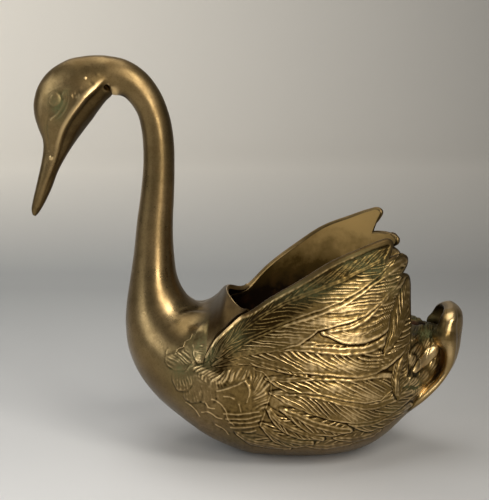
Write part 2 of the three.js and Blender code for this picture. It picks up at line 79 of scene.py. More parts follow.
# Sections of neck, breast and hull: place, back x and z, front x and z, half width, where it is
# widest on the way from back to front, and how full the front half is
BODY_SECTIONS = [
    (-262, -94.2, 278.1, -92.6, 254.9, 11.4, 0.5, 1),
    (-252, -82.1, 275.4, -86.5, 252.9, 11.2, 0.5, 1),
    (-240, -69.4, 267.2, -79.9, 246.7, 11, 0.5, 1),
    (-228, -60, 254.9, -75.2, 239.2, 10.8, 0.5, 1),
    (-214, -53.4, 238.5, -72.6, 229.5, 10.7, 0.5, 1),
    (-200, -50.5, 221.9, -71.4, 217, 10.8, 0.5, 1),
    (-180, -50, 201, -71.7, 199.6, 11, 0.5, 1),
    (-161, -50.6, 180.4, -73.7, 181.6, 11.8, 0.5, 1),
    (-142, -51.5, 161.6, -76.3, 163.6, 12.9, 0.5, 1),
    (-122, -51, 141.4, -78.7, 142.5, 14.6, 0.5, 1),
    (-103, -48.4, 122.9, -81.9, 121.4, 18, 0.5, 1),
    (-88, -42.2, 110.6, -84.6, 103.3, 23, 0.5, 1),
    (-77, -35.9, 105.5, -85.2, 88.7, 28.5, 0.5, 1),
    (-66, -31.7, 104, -83, 71.5, 35, 0.5, 1),
    (-56, -28.2, 104.4, -75.9, 55.1, 41, 0.5, 0.98),
    (-45, -24, 106.2, -63.3, 39, 47, 0.49, 0.95),
    (-33, -19.8, 109.9, -46.4, 24.8, 52.5, 0.47, 0.91),
    (-21, -14.9, 115.3, -28.7, 12.2, 57, 0.46, 0.88),
    (0, 0, 119.5, 0, 0.4, 60.5, 0.49, 0.85),
    (15, 15, 148.5, 15, -1, 62.5, 0.59, 0.85),
    (35, 35, 190.5, 35, -1.8, 64, 0.68, 0.85),
    (55, 55, 231, 55, -1.3, 63, 0.735, 0.86),
    (75, 75, 256, 75, 1.2, 58.5, 0.765, 0.89),
    (88, 88, 275, 88, 5.6, 53, 0.785, 0.93),
    (98, 98, 264, 98, 12.2, 48, 0.805, 0.97),
    (106, 106, 214, 106, 19.4, 42.5, 0.78, 1),
    (110, 110, 180, 110, 22.8, 39, 0.735, 1.02),
    (114, 114, 124, 114, 26.2, 35, 0.59, 1.02),
    (118, 118, 98, 118, 29.4, 30.5, 0.45, 1.02),
    (122, 122, 92, 122, 34, 25, 0.43, 1),
    (126, 126, 90, 126, 39, 19.5, 0.43, 1),
    (130, 130, 89, 130, 45, 13.5, 0.43, 1),
    (134, 134, 88, 134, 52, 7, 0.43, 1),
]
HEAD_SECTIONS = [
    (0, -94.2, 278.1, -92.6, 254.9, 11.4, 0.5, 1),
    (7, -101.6, 278.7, -95.2, 250, 12, 0.52, 1),
    (15, -112, 277.7, -97.4, 246.2, 13.4, 0.56, 1.04),
    (23, -122, 275.4, -100, 242.6, 14.8, 0.6, 1.1),
    (31, -133.7, 268.4, -102.8, 238.8, 15.8, 0.64, 1.2),
    (39, -141.4, 258.8, -106, 234.3, 16.2, 0.66, 1.25),
    (47, -145.1, 248.1, -109.6, 229.8, 15.4, 0.67, 1.25),
    (55, -145.2, 238.5, -113.4, 224.8, 13.2, 0.66, 1.2),
    (63, -143.1, 230, -117, 220, 10.6, 0.64, 1.1),
    (71, -140, 221, -120.6, 214.8, 8.2, 0.6, 1),
    (80, -139.9, 213, -124.6, 208.4, 6.9, 0.56, 1),
    (92, -142, 201.8, -130.1, 198, 6, 0.52, 1),
    (105, -145, 189.6, -135.1, 185.8, 5.2, 0.5, 1),
    (118, -148.2, 176.8, -141, 174.2, 4, 0.5, 1),
    (124, -149.1, 171.4, -144, 169.6, 2.8, 0.5, 1),
    (128, -148.4, 168.2, -146, 167.4, 1.4, 0.5, 1),
]
WING_TOP = [  # the wings' upper edge in side view, without its tips: x and z
    (-27.8, 84), (-21.9, 93.6), (-15.4, 100), (-6.8, 106), (0.4, 110.3), (14.5, 122.4),
    (35, 136.4), (54.7, 149), (74.7, 157.4), (88.2, 161.4), (97.8, 162.6), (104, 156),
    (109.3, 145.6), (110.6, 130.9), (111.3, 113), (111.9, 89.2),
]
WING_SEAM = [  # where the wings stand on the bowl: x and z
    (-30.6, 74.6), (-15, 69), (5, 62), (25, 52.5), (45, 44), (65, 38.5), (85, 38.5), (97, 45.5),
    (104, 55.5), (108, 67), (110.7, 78.5), (111.9, 88),
]
# Cross-sections of the tail's fan: back x and z, half width, thickness in the middle, how far the
# lips reach forward, thickness of the lips, and the way forward in degrees above level
FAN_SECTIONS = [
    (106.4, 20.1, 17, 5, 4, 6, 50), (115.4, 27.7, 19.5, 5, 5, 6.5, 50),
    (123.8, 35.1, 20.5, 5, 4, 6, 48), (130.7, 42.4, 19.5, 5, 3, 5.5, 45),
    (137.1, 49.8, 18, 5, 2.5, 5, 38), (142.6, 57.6, 16.6, 5, 2.5, 5.2, 27),
    (146.8, 65.8, 16.8, 5.5, 3.2, 7, 14), (149.1, 74, 17, 6.5, 4.2, 9, 5),
    (150, 81.5, 16, 7, 4.4, 16, 0), (150.8, 88.5, 16.2, 8.5, 5.4, 18, -3),
    (151, 94, 16.2, 10, 6, 14.6, -6), (150.4, 98.5, 15.2, 10, 5, 13, -8),
    (148.8, 101.2, 13.4, 9.8, 3.5, 11.8, -10), (146.4, 103.2, 10.5, 9.2, 1.5, 9.6, -12),
    (143.6, 104.1, 6.5, 6, 0.5, 6.4, -12),
]
FAN_CUP = 2.4  # how sharply the fan bends forward towards its lips
MOUTH_TAIL = (118, 93)  # x and z of the middle of the hollow that ends in the slot
SLOT_RADII = (7, 6.5, 16)  # the hollow's length, width and depth, halved
ROOF_START = 111.7  # the roof over the rump's end, and how much higher it is in the middle
ROOF_RISE = 2.9


# Curves and skins

def smoothstep(low, high, x):
    """A soft step from 0 at low to 1 at high, or down again where low is the greater one."""
    share = np.clip((np.asarray(x, float) - low) / (high - low), 0, 1)
    return share * share * (3 - 2 * share)


def mix(a, b, share):
    """What lies the given share of the way from a to b."""
    return a + (b - a) * share


def bell(x, half):
    """1 where x is 0, fading out on both sides over about the given half width."""
    return np.exp(-((x / half) ** 2))


def spot(x, y, middle, radii):
    """A soft patch: 1 in its middle, fading out around it."""
    return np.exp(-(((x - middle[0]) / radii[0]) ** 2) - ((y - middle[1]) / radii[1]) ** 2)


def turned(x, y, middle, radii, turn):
    """How far points lie from a middle along two directions square to each other, in radii."""
    angle = math.radians(turn)
    x, y = x - middle[0], y - middle[1]
    return ((x * math.cos(angle) + y * math.sin(angle)) / radii[0],
            (y * math.cos(angle) - x * math.sin(angle)) / radii[1])


class Curve:
    """A smooth curve through rows of values, flat beyond its ends."""

    def __init__(self, places, values):
        self.places = np.asarray(places, float)
        self.values = np.asarray(values, float)
        if self.values.ndim == 1:
            self.values = self.values[:, None]
        slopes = np.diff(self.values, axis=0) / np.diff(self.places)[:, None]
        middle = (slopes[:-1] + slopes[1:]) / 2
        self.tangents = np.vstack([slopes[:1], middle, slopes[-1:]])

    def __call__(self, place):
        """The values at places."""
        place = np.clip(np.asarray(place, float), self.places[0], self.places[-1])
        i = np.clip(np.searchsorted(self.places, place, "right") - 1, 0, len(self.places) - 2)
        span = (self.places[i + 1] - self.places[i])[..., None]
        t = (place - self.places[i])[..., None] / span
        a, b = self.values[i], self.values[i + 1]
        p, q = self.tangents[i] * span, self.tangents[i + 1] * span
        return (
            a * (2 * t**3 - 3 * t**2 + 1) + p * (t**3 - 2 * t**2 + t)
            + b * (3 * t**2 - 2 * t**3) + q * (t**3 - t**2)
        )


def line_of(points):
    """A smooth line through points, and its length along each of them."""
    points = np.asarray(points, float)
    steps = np.linalg.norm(np.diff(points, axis=0), axis=1)
    lengths = np.concatenate([[0], np.cumsum(steps)])
    return Curve(lengths, points), lengths


class Skin:
    """A surface through cross-sections; turn runs from -1 at the front line to 1 at the back."""

    def __init__(self, rows, hand=1):
        table = np.array(rows, float)
        self.curve = Curve(table[:, 0], table[:, 1:])
        self.hand = hand

    def section(self, place):
        """Back and front point, widest point, half width and fullness of a section."""
        row = self.curve(place)
        back, front = row[..., 0:2], row[..., 2:4]
        return back, front, mix(back, front, row[..., 5:6]), row[..., 4], row[..., 6]

    def point(self, place, turn):
        """Points on the left half of the skin."""
        place, turn = np.broadcast_arrays(np.asarray(place, float), np.asarray(turn, float))
        back, front, middle, half, full = self.section(place)
        angle = np.minimum(np.abs(turn), 1) * QUARTER
        power = np.where(turn < 0, full, 1.0)
        end = np.where((turn < 0)[..., None], front, back)
        flat = mix(middle, end, (np.sin(angle) ** power)[..., None])
        y = -half * np.maximum(np.cos(angle), 0) ** power
        return np.stack([flat[..., 0], y, flat[..., 1]], -1)

    def normal(self, place, turn):
        """The way straight out of the skin."""
        place, turn = np.broadcast_arrays(np.asarray(place, float), np.asarray(turn, float))
        kept = np.clip(turn, STEP - 1, 1 - STEP)
        along = self.point(place + STEP, kept) - self.point(place - STEP, kept)
        over = self.point(place, kept + STEP) - self.point(place, kept - STEP)
        out = np.cross(along, over) * self.hand
        out[..., 1] = np.where(np.abs(turn) >= 1, 0, out[..., 1])
        return out / np.linalg.norm(out, axis=-1, keepdims=True)

    def find(self, points, low, high):
        """The place and turn of side view points."""
        points = np.asarray(points, float)
        low = np.full(len(points), float(low))
        high = np.full(len(points), float(high))

        def side(place):
            """On which side of the sections' middle lines the points lie."""
            back, front = self.section(place)[:2]
            down, to = front - back, points - back
            return np.sign(down[:, 0] * to[:, 1] - down[:, 1] * to[:, 0])

        ahead = side(high)
        for _ in range(26):
            half = (low + high) / 2
            same = side(half) == ahead
            high = np.where(same, half, high)
            low = np.where(same, low, half)
        back, front, middle, _, full = self.section(low)
        upper = np.linalg.norm(points - back, axis=1) < np.linalg.norm(middle - back, axis=1)
        end = np.where(upper[:, None], back, front)
        share = np.linalg.norm(points - middle, axis=1) / np.linalg.norm(end - middle, axis=1)
        share = np.minimum(share, 1) ** np.where(upper, 1, 1 / full)
        angle = np.arcsin(share) / QUARTER
        return low, np.where(upper, angle, -angle)


# each skin runs on a little way into the other, so that they meet without a kink
hull = Skin([(-269,) + HEAD_SECTIONS[1][1:]] + BODY_SECTIONS)
head_skin = Skin([(-10,) + BODY_SECTIONS[1][1:]] + HEAD_SECTIONS, hand=-1)


def line_on_hull(points):
    """The turn, by place, of a line drawn over the hull in side view."""
    curve = Curve(*hull.find(points, *WINGS))
    return lambda place: curve(place)[..., 0]


wing_top = line_on_hull(WING_TOP)
wing_seam = line_on_hull(WING_SEAM)


def rump_rim(place):
    """The turn at which a section reaches the height of the rump's edge."""
    back, _, middle, _, _ = hull.section(place)
    share = (RUMP_RIM - middle[..., 1]) / (back[..., 1] - middle[..., 1])
    return np.arcsin(np.clip(share, -1, 1)) / QUARTER


def keel_turn(place):
    """The turn, near 1, at which the front half of a section is as wide as the seam."""
    _, _, _, half, full = hull.section(place)
    return np.arccos((SEAM_HALF / half) ** (1 / full)) / QUARTER


def nape_turn(place):
    """The same for the back half."""
    return np.arccos(SEAM_HALF / hull.section(place)[3]) / QUARTER


# Carving. It is drawn on a plane seen from the swan's left side, a little from above, in the units
# of a drawing 489 wide and 500 high. The right side is its mirror image. Across and down are
# places on the drawing.
DRAWING = (489, 500)
FAR = 1200  # from the eye to the swan
LENS = 1728  # from the eye to the drawing, in its own units
LOOK_AT = (-2, 143)  # x and z of what lies in the middle of the drawing
TILT = math.radians(14)


def on_drawing(points):
    """Where points appear on the drawing, those of the right side as their mirror images."""
    x, y, z = points[..., 0], -np.abs(points[..., 1]), points[..., 2]
    rise = z - LOOK_AT[1]
    depth = FAR + math.cos(TILT) * y - math.sin(TILT) * rise
    across = DRAWING[0] / 2 + LENS * (x - LOOK_AT[0]) / depth
    down = DRAWING[1] / 2 - LENS * (math.cos(TILT) * rise + math.sin(TILT) * y) / depth
    return across, down


def beside(line, across, down, reach):
    """Which points lie near a drawn line, how far along it, and how far above it."""
    curve, lengths = line_of(line)
    total = lengths[-1]
    # first the nearest of some steps along the line
    steps = np.linspace(0, total, max(6, int(total / 4)))
    path = curve(steps)
    low, high = path.min(0) - reach, path.max(0) + reach
    near = np.flatnonzero(
        (across > low[0]) & (across < high[0]) & (down > low[1]) & (down < high[1])
    )
    if not len(near):
        return near, near, near, total
    at = np.stack([across[near], down[near]], -1)
    best = np.full(len(near), 1e9)
    along = np.zeros(len(near))
    for start, place in zip(steps, path):
        gap = ((at - place) ** 2).sum(-1)
        closer = gap < best
        best = np.where(closer, gap, best)
        along = np.where(closer, start, along)
    kept = best < (reach + 6) ** 2
    near, at, along = near[kept], at[kept], along[kept]
    # then closer and closer to the foot of the perpendicular
    apart = 0.4
    for _ in range(4):
        before, after = np.clip(along - apart, 0, total), np.clip(along + apart, 0, total)
        here, back, ahead = curve(along), curve(before), curve(after)
        way = (ahead - back) / (after - before)[:, None]
        turn = (ahead - 2 * here + back) / 0.16  # apart squared
        size = (way * way).sum(-1)
        rest = np.maximum(size - ((at - here) * turn).sum(-1), 0.35 * size)
        along = np.clip(along + ((at - here) * way).sum(-1) / rest, 0, total)
    off = at - curve(along)
    side = np.where(way[:, 1] * off[:, 0] - way[:, 0] * off[:, 1] > 0, 1, -1)
    return near, along, np.hypot(off[:, 0], off[:, 1]) * side, total


def width_along(widths, share):
    """A width that is given at even steps along a line."""
    return np.interp(share, np.linspace(0, 1, len(widths)), widths)


def chance(number, salt):
    """A steady number from 0 to 1 for each barb."""
    return np.modf(np.abs(np.sin(number * 12.9898 + salt * 78.233)) * 437.5453)[0]


def grain(across, down, size, turn, salt=3):
    """The uneven skin of a sand casting: smooth random heights from -1 to 1."""
    u, v = turned(across, down, (0, 0), (size, size), turn)
    i, j = np.floor(u), np.floor(v)
    s, t = smoothstep(0, 1, u - i), smoothstep(0, 1, v - j)

    def corner(a, b):
        """The height at a corner of the square that a point lies in."""
        return 2 * chance(i + a + 57 * (j + b), salt) - 1

    return mix(mix(corner(0, 0), corner(1, 0), s), mix(corner(0, 1), corner(1, 1), s), t)


BARB_HALF = 0.66  # half width of a barb
BARB_BEND = 0.5  # how much further a barb leans at the feather's edge than at its root
EDGE_HALF = 0.9  # half width of the raised lines beside a shaft and along an edge
WORN = [  # rubbed nearly smooth: middle, radii
    ((324, 322), (24, 6)), ((300, 341), (18, 8)), ((352, 338), (18, 7)), ((312, 366), (12, 7)),
    ((371, 396), (14, 7)), ((285, 402), (14, 6)), ((352, 416), (12, 7)), ((336, 388), (12, 6)),
    ((346, 366), (16, 6)), ((345, 309), (16, 5)), ((212, 378), (16, 5)), ((234, 378), (14, 6)),
    ((262, 390), (7, 14)),
]


def feather(height, across, down, spine, above, below, shaft=(1.2, 1.2), pitch=4.9, lean=38,
            barb=0.75, lift=0.5, seed=0, tuck=0.35, ridge=0.5, camber=0.3, lean_above=None,
            pitch_above=None, barb_above=None):
    """Lays one feather over the carving so far: a shaft, barbs that lean to its tip, and edges."""
    near, along, off, length = beside(spine, across, down, max(above + below) + 4)
    if not len(near):
        return
    share, upper, out = along / length, off > 0, np.abs(off)
    wide = np.where(upper, width_along(above, share), width_along(below, share))
    wide = np.maximum(wide, 0.5)
    q = out / wide  # 0 on the shaft, 1 on the feather's edge
    stem = width_along(shaft, share)
    slope = np.radians(np.where(upper, lean_above or lean, lean))
    pitch = np.where(upper, pitch_above or pitch, pitch)
    barb = np.where(upper, barb_above or barb, barb)
    # which barb a point belongs to; the barbs run in slow, uneven waves
    root = along - out / np.tan(slope) * (1 + BARB_BEND * q)
    wave = root * np.sin(slope) / pitch + upper * 0.5
    wave = wave + 0.15 * np.sin(out * 0.33 + seed) + 0.25 * np.sin(along * 0.11 + seed)
    barbs, creases = np.zeros(len(near)), np.zeros(len(near))
    for step in (0, 1):
        n = np.floor(wave) + step
        centre = n + 0.5 * (chance(n, seed) - 0.5) + 0.7 * (q - 0.4) * (chance(n, seed + 9) - 0.5)
        away = (wave - centre) * pitch
        first, last = 0.3 * chance(n, seed + 2) ** 2, 0.74 + 0.36 * chance(n, seed + 4)
        shown = smoothstep(first, first + 0.12, q) * smoothstep(last, last - 0.25, q)
        shown = shown * (0.45 + 0.65 * chance(n, seed + 6)) * (1.1 - 0.45 * q)
        barbs = np.maximum(barbs, shown * bell(away, BARB_HALF))
        creases = np.maximum(creases, shown * bell(away + 1.9 * BARB_HALF, 1.2 * BARB_HALF))
    # where it is rubbed, the barbs are low and the feather swells softly
    fresh = smoothstep(stem + 0.4, stem + 2, out)
    bulge = np.zeros(len(near))
    for worn in WORN:
        rubbed = spot(across[near], down[near], *worn)
        fresh = fresh * (1 - 0.8 * rubbed)
        bulge = np.maximum(bulge, 0.38 * rubbed)
    level = np.where(upper, -tuck * q, 0.65 * lift * q**1.5) + camber * (1 - q**2) + bulge
    made = level + barb * fresh * (barbs - 0.25 * creases)
    # the raised lines beside the shaft and along the edge
    edges = bell(out - stem, EDGE_HALF) + 0.4 * (out < stem)
    uneven = 0.8 + 0.2 * np.sin(along * 0.31 + seed) + 0.12 * np.sin(along * 0.83 + 2 * seed)
    made = made + ridge * np.minimum(edges, 1) * smoothstep(0, 0.04, share) * uneven
    made = made + 0.25 * bell(wide - 1 - out, EDGE_HALF) * smoothstep(2, 6, wide)
    shade = bell(out - wide, 1.6) * (out > wide) * 0.18
    height[near] = mix(height[near] - shade, made, smoothstep(-0.8, 0.8, wide - out))


def raised_line(height, across, down, line, wide, tall):
    """A thin raised line, or a groove where the height is negative."""
    near, _, off, _ = beside(line, across, down, wide * 3)
    height[near] += tall * bell(off, wide)


def mound(height, across, down, middle, radii, turn, tall, power=2.0):
    """A rounded boss, as tall as given in its middle."""
    a, b = turned(across, down, middle, radii, turn)
    height += tall * np.maximum(1 - np.hypot(a, b) ** power, 0) ** 0.7


def bump(height, across, down, middle, radii, turn, tall):
    """A soft swelling that fades into its surroundings."""
    a, b = turned(across, down, middle, radii, turn)
    height += tall * np.exp(-(a**2) - b**2)


def ruffle(height, across, down, line, wide, pitch, lean, tall, seed, curl=0):
    """A strip of short uneven strokes that cross a drawn line."""
    near, along, off, length = beside(line, across, down, 1.3 * max(wide) + 1)
    if not len(near):
        return
    half = width_along(wide, along / length)
    slope = math.radians(lean)
    root = along - off / math.tan(slope) - curl * off**2
    wave = root * math.sin(slope) / pitch + 0.25 * np.sin(along * 0.31 + seed)
    strokes = np.zeros(len(near))
    for step in (0, 1):
        n = np.floor(wave) + step
        centre = n + 0.4 * (chance(n, seed) - 0.5) + 0.08 * off * (chance(n, seed + 9) - 0.5)
        reach = 0.7 + 0.4 * chance(n, seed + 3)
        q = np.abs(off / half - 0.4 * (chance(n, seed + 5) - 0.5)) / reach
        one = bell(wave - centre, 0.25 + 0.12 * chance(n, seed + 8)) * smoothstep(1.1, 0.4, q)
        strokes = np.maximum(strokes, one * (0.35 + 0.65 * chance(n, seed + 7)))
    strokes = strokes * (0.8 + 0.4 * grain(across[near], down[near], 5, 15, 11))
    ends = smoothstep(-0.02, 0.08, along / length) * smoothstep(1.02, 0.92, along / length)
    height[near] += tall * (strokes - 0.3) * ends * smoothstep(1.25, 0.8, np.abs(off) / half)


def scale(height, across, down, middle, radii, way, tall, rib, ribs, seed):
    """One small feather laid over the others: rounded, with ribs that spread to its free end."""
    b, a = turned(across, down, middle, radii[::-1], way)
    q = (np.abs(a) ** 2.4 + np.abs(b) ** 2.4) ** (1 / 2.4)
    around = np.arctan2(b, a)
    q = q * (1 + 0.05 * np.sin(3 * around + seed) + 0.03 * np.sin(7 * around + 2 * seed))
    near = np.flatnonzero(q < 1.6)
    if not len(near):
        return
    a, b, q = a[near], b[near], q[near]
    wave = a / (0.72 + 0.28 * (b + 1)) * radii[0] / ribs + 0.12 * np.sin(3 * b + seed)
    n = np.round(wave)
    away = (wave - n - 0.35 * (chance(n, seed) - 0.5)) * ribs
    starts = -0.95 + 0.6 * chance(n, seed + 3)
    lines = bell(away, 0.85) * smoothstep(starts, starts + 0.4, b)
    lines = lines * smoothstep(0.98, 0.8, q) * (0.6 + 0.5 * chance(n, seed + 5))
    made = tall * (0.3 + 0.7 * smoothstep(-1.1, 0.8, b)) * (1 - 0.35 * q**3) + rib * lines
    step = min(radii)
    free = smoothstep(-0.9, 0.1, b)
    shade = bell((q - 1) * step, 1.2) * (q > 1) * 0.13 * free
    cover = smoothstep(1 + 0.8 / step, 1 - 0.8 / step, q) * free
    height[near] = mix(height[near] - shade, made, cover)


FEATHERS = [  # each lies over those before it
    # belly, from below
    dict(spine=[(298, 443), (318, 446), (340, 444), (364, 437)], above=[2, 6, 6, 2],
         below=[1, 3, 3, 1], lean=30, seed=30, barb=0.5),
    dict(spine=[(236, 432), (250, 440), (268, 444), (290, 448)], above=[2, 7, 7, 2],
         below=[1, 4, 4, 1], lean=30, seed=1, barb=0.55),
    dict(spine=[(262, 425), (275, 435), (291, 441), (312, 443)], above=[4, 12, 12, 3],
         below=[2, 6, 6, 2], lean=32, seed=2),
    dict(spine=[(268, 408), (278, 420), (291, 428), (306, 434), (322, 439)], above=[3, 9, 10, 3],
         below=[2, 7, 7, 2], lean=32, seed=3),
    dict(spine=[(334, 438), (350, 439), (366, 436), (380, 430)], above=[2, 8, 8, 3],
         below=[1, 3, 3, 1], lean=34, seed=4, barb=0.5),
    dict(spine=[(350, 424), (366, 424), (382, 419), (398, 412), (410, 404)],
         above=[2, 8, 9, 6, 2], below=[2, 8, 8, 5, 2], lean=34, seed=5, barb=0.55),
    # lower wing
    dict(spine=[(282, 410), (297, 416), (312, 423), (328, 428), (349, 431)],
         above=[3, 8, 11, 12, 4], below=[2, 8, 11, 8, 2], shaft=(1.5, 2.6, 2.2), lean=38, seed=6),
    dict(spine=[(272, 392), (286, 393), (300, 393), (315, 395), (330, 398), (345, 402), (360, 405),
                (375, 405), (388, 401), (400, 396), (411, 391)],
         above=[2, 6, 7, 7, 7, 5], below=[3, 14, 20, 22, 20, 16, 12, 6],
         shaft=(1.2, 2.4, 3.2, 2.6, 1.6), lean=40, seed=7),
    dict(spine=[(268, 378), (285, 379.5), (300, 379), (318, 377.5), (335, 377.5), (352, 378),
                (370, 376), (385, 375), (397, 376)],
         above=[2, 6, 6, 6, 5, 3], below=[3, 12, 15, 18, 22, 26, 25, 13],
         shaft=(1.2, 1.6, 2.2, 2, 1.4), lean=38, seed=8, lift=0.65),
    dict(spine=[(217, 366), (235, 362), (252, 361), (272, 364), (290, 369), (306, 376)],
         above=[2, 5, 7, 8, 5], below=[1, 4, 6, 6, 2], lean=28, seed=9),
    dict(spine=[(397, 397), (396, 384), (398, 372), (402, 358), (408, 343)],
         above=[3, 6, 6, 5, 1], below=[3, 8, 9, 7, 1], pitch=3.6, lean=46, seed=10, barb=0.45),
    dict(spine=[(216, 362), (235, 357), (255, 352), (276, 349), (297, 348), (318, 349.5),
                (335, 351), (352, 351), (366, 349), (378, 344), (390, 335), (399, 325),
                (405, 312), (409, 298)],
         above=[1, 4, 7, 8, 7, 7, 6, 5, 3], below=[2, 6, 10, 18, 25, 25, 25, 27, 25, 20, 12, 4],
         shaft=(0.9, 1.2, 2.4, 3, 2.6, 1.6), lean=38, seed=11, lift=0.65),
    dict(spine=[(326, 331), (343, 328), (354, 325), (364, 319), (373, 310), (381, 301), (389, 292),
                (397, 284), (408, 277)],
         above=[2, 5, 8, 9, 9, 8, 6, 4], below=[5, 15, 20, 24, 25, 22, 17, 9],
         shaft=(1.2, 2.2, 1.8), lean=36, seed=12, lift=0.65),
    # at the wing's rear edge, under the upper wing
    dict(spine=[(385, 352), (395, 336), (402, 316), (406, 298), (408, 280)],
         above=[3, 9, 12, 11, 4], below=[2, 4, 5, 4, 2], lean=22, pitch=3, seed=21, barb=0.42,
         ridge=0.15, tuck=0.5, lift=0.1),
    # upper wing
    dict(spine=[(213, 364), (225, 357), (235, 350), (243, 345), (255, 338), (267, 332), (280, 326),
                (292, 321.5), (305, 317), (318, 312), (332, 307), (345, 300.5), (358, 292),
                (370, 283), (382, 275), (393, 267), (406, 258)],
         above=[1, 3, 5, 6, 7, 8, 10, 12, 12, 7], below=[2, 8, 16, 22, 25, 18, 20, 24, 22, 16, 6],
         shaft=(0.8, 1.2, 1.6, 3, 3.6, 3.6, 2.6), lean=38, seed=13, lift=0.6),
    dict(spine=[(218, 356), (226, 347), (233, 341), (245, 330), (258, 320), (272, 311), (286, 303),
                (300, 297), (315, 291), (330, 285), (345, 278.5), (360, 271), (375, 263),
                (392, 253)],
         above=[9, 18, 21, 22, 21, 21, 20, 18, 14, 7], below=[3, 8, 13, 17, 19, 20, 20, 18, 14, 6],
         shaft=(0.8, 1.4, 1.4, 1.2, 1), lean=36, seed=14, lift=0.6, lean_above=26, pitch_above=2.9,
         barb_above=0.4),
]
RUMP = [  # middle, half width and length, way of the free end, height
    ((402, 402), (5, 9), 325, 0.35), ((409, 396), (5, 10), 320, 0.4),
    ((418, 392), (5, 10), 318, 0.4), ((427, 383), (5, 10), 315, 0.4),
    ((435, 374), (5, 9), 310, 0.4), ((412, 385), (5, 10), 312, 0.5),
    ((422, 377), (5, 10), 312, 0.5), ((431, 367), (5, 9), 308, 0.5),
    ((438, 360), (4, 8), 300, 0.4), ((438, 332), (5, 9), 285, 0.4), ((430, 333), (5, 9), 290, 0.5),
    ((422, 336), (5, 9), 285, 0.5), ((414, 338), (5, 9), 280, 0.5), ((434, 344), (5, 9), 300, 0.5),
    ((425, 347), (5, 10), 300, 0.6), ((416, 352), (5, 10), 295, 0.6),
    ((410, 362), (5, 9), 290, 0.5), ((413, 331), (4.5, 7), 285, 0.5),
    ((421, 331), (4.5, 7), 280, 0.5), ((429, 330), (4.5, 7), 275, 0.4),
]
LEAF = dict(  # the plain feather between them
    spine=[(415, 371), (423, 362), (431, 353), (441, 342)], above=[2, 5.5, 5.5, 1],
    below=[2, 5, 6, 1], shaft=(0.6, 0.4), pitch=4.4, lean=28, barb=0.3, lift=0.3, tuck=-0.2,
    camber=0.9, seed=22, ridge=0.3)
BREAST_SCALES = [  # middle, half width and length, way of the free end, height, ribs
    ((208, 393), (8, 12), 84, 0.3, 0.06), ((193, 392), (9, 11), 78, 0.32, 0.12),
    ((183, 379), (10, 12), 84, 0.36, 0.16), ((178, 359), (13, 11), 112, 0.2, 0.0),
    ((202, 350), (9.5, 13), 92, 0.7, 0.0),
]
BREAST_LUMPS = [  # middle, radii, turn, height
    ((198, 331), (10, 4.5), -38, 0.9), ((188, 345), (4, 6), 40, 0.2),
    ((194, 352), (2, 3), 0, 0.25),
]
RUFFLES = [  # line, half width, pitch, lean, height: breast, then round the wing's root
    dict(line=[(167, 363), (178, 360), (191, 356)], wide=[7, 9, 9], pitch=3.3, lean=122, tall=0.65,
         seed=1),
    dict(line=[(176, 382), (184, 382), (192, 380)], wide=[5, 7, 6], pitch=3, lean=118, tall=0.15,
         seed=2),
    dict(line=[(202, 342), (203, 351), (202, 361)], wide=[6, 8, 8], pitch=2.9, lean=84, tall=0.5,
         seed=4),
    dict(line=[(193, 366), (206, 372), (220, 378), (238, 375), (252, 371)], wide=[5, 7, 9, 8, 6],
         pitch=3.1, lean=52, tall=0.75, seed=6.3, curl=0.02),
    dict(line=[(196, 374), (208, 380), (220, 384), (231, 384)], wide=[3, 4, 5, 3],
         pitch=3.3, lean=118, tall=0.4, seed=5.1),
    dict(line=[(250, 371), (258, 379), (262, 390), (261, 401), (258, 412)], wide=[7, 9, 11, 9, 7],
         pitch=3.1, lean=128, tall=0.95, seed=8.6, curl=0.02),
]
BELLY_LINES = [  # thin raised lines about the scales and the wing's root
    [(212, 399), (217, 401), (222, 404), (226, 411), (227, 416), (234, 425)],
    [(224, 396), (229, 396.5), (234, 399)], [(239, 404), (240, 407), (241, 412)],
    [(246, 382), (249, 387), (250, 393), (247, 402)],
    [(217, 391), (227, 389), (237, 385), (246, 381)],
    [(202, 412), (210, 412), (217, 417), (222, 418)],
    [(192, 335), (190, 339), (185, 342), (183, 347), (178, 349), (176, 354)],
    [(209, 340), (211, 348), (211, 356), (209, 362)], [(186, 402), (193, 407), (200, 416)],
    [(206, 403), (209, 407), (215, 408)], [(216, 424), (223, 428), (229, 434)],
    [(255, 370), (264, 373), (270, 381), (271, 392), (268, 402), (265, 412), (261, 424)],
]
RIPPLES = [  # the same on the smooth field before the wing
    [(224, 413), (242, 414), (259, 411)], [(226, 418), (243, 419), (261, 415)],
    [(229, 422), (245, 423), (260, 420)], [(231, 427), (245, 427.5), (259, 425)],
    [(235, 431), (246, 432), (256, 430)],
]
BELLY_LINE, RIPPLE = (0.6, 0.34), (0.8, 0.36)  # half width and height of these lines
FIELD = ((236, 400), (31, 31))  # the smooth field: middle, radii
VENT, VENT_SHADE = ((107, 87.6), 2.3), ((107, 87.8), 2.8)  # middle, radius


def keel_line(across):
    """How far down the hull's lower edge lies on the drawing."""
    return np.interp(across, [180, 240, 310, 345, 385, 412, 430],
                     [396, 436, 452, 444, 431, 409, 392])


def feathered(across, down):
    """1 among the feathers, 0 on the smooth breast and below the hull's edge."""
    return smoothstep(198, 246, across) * smoothstep(0, 14, keel_line(across) - down)


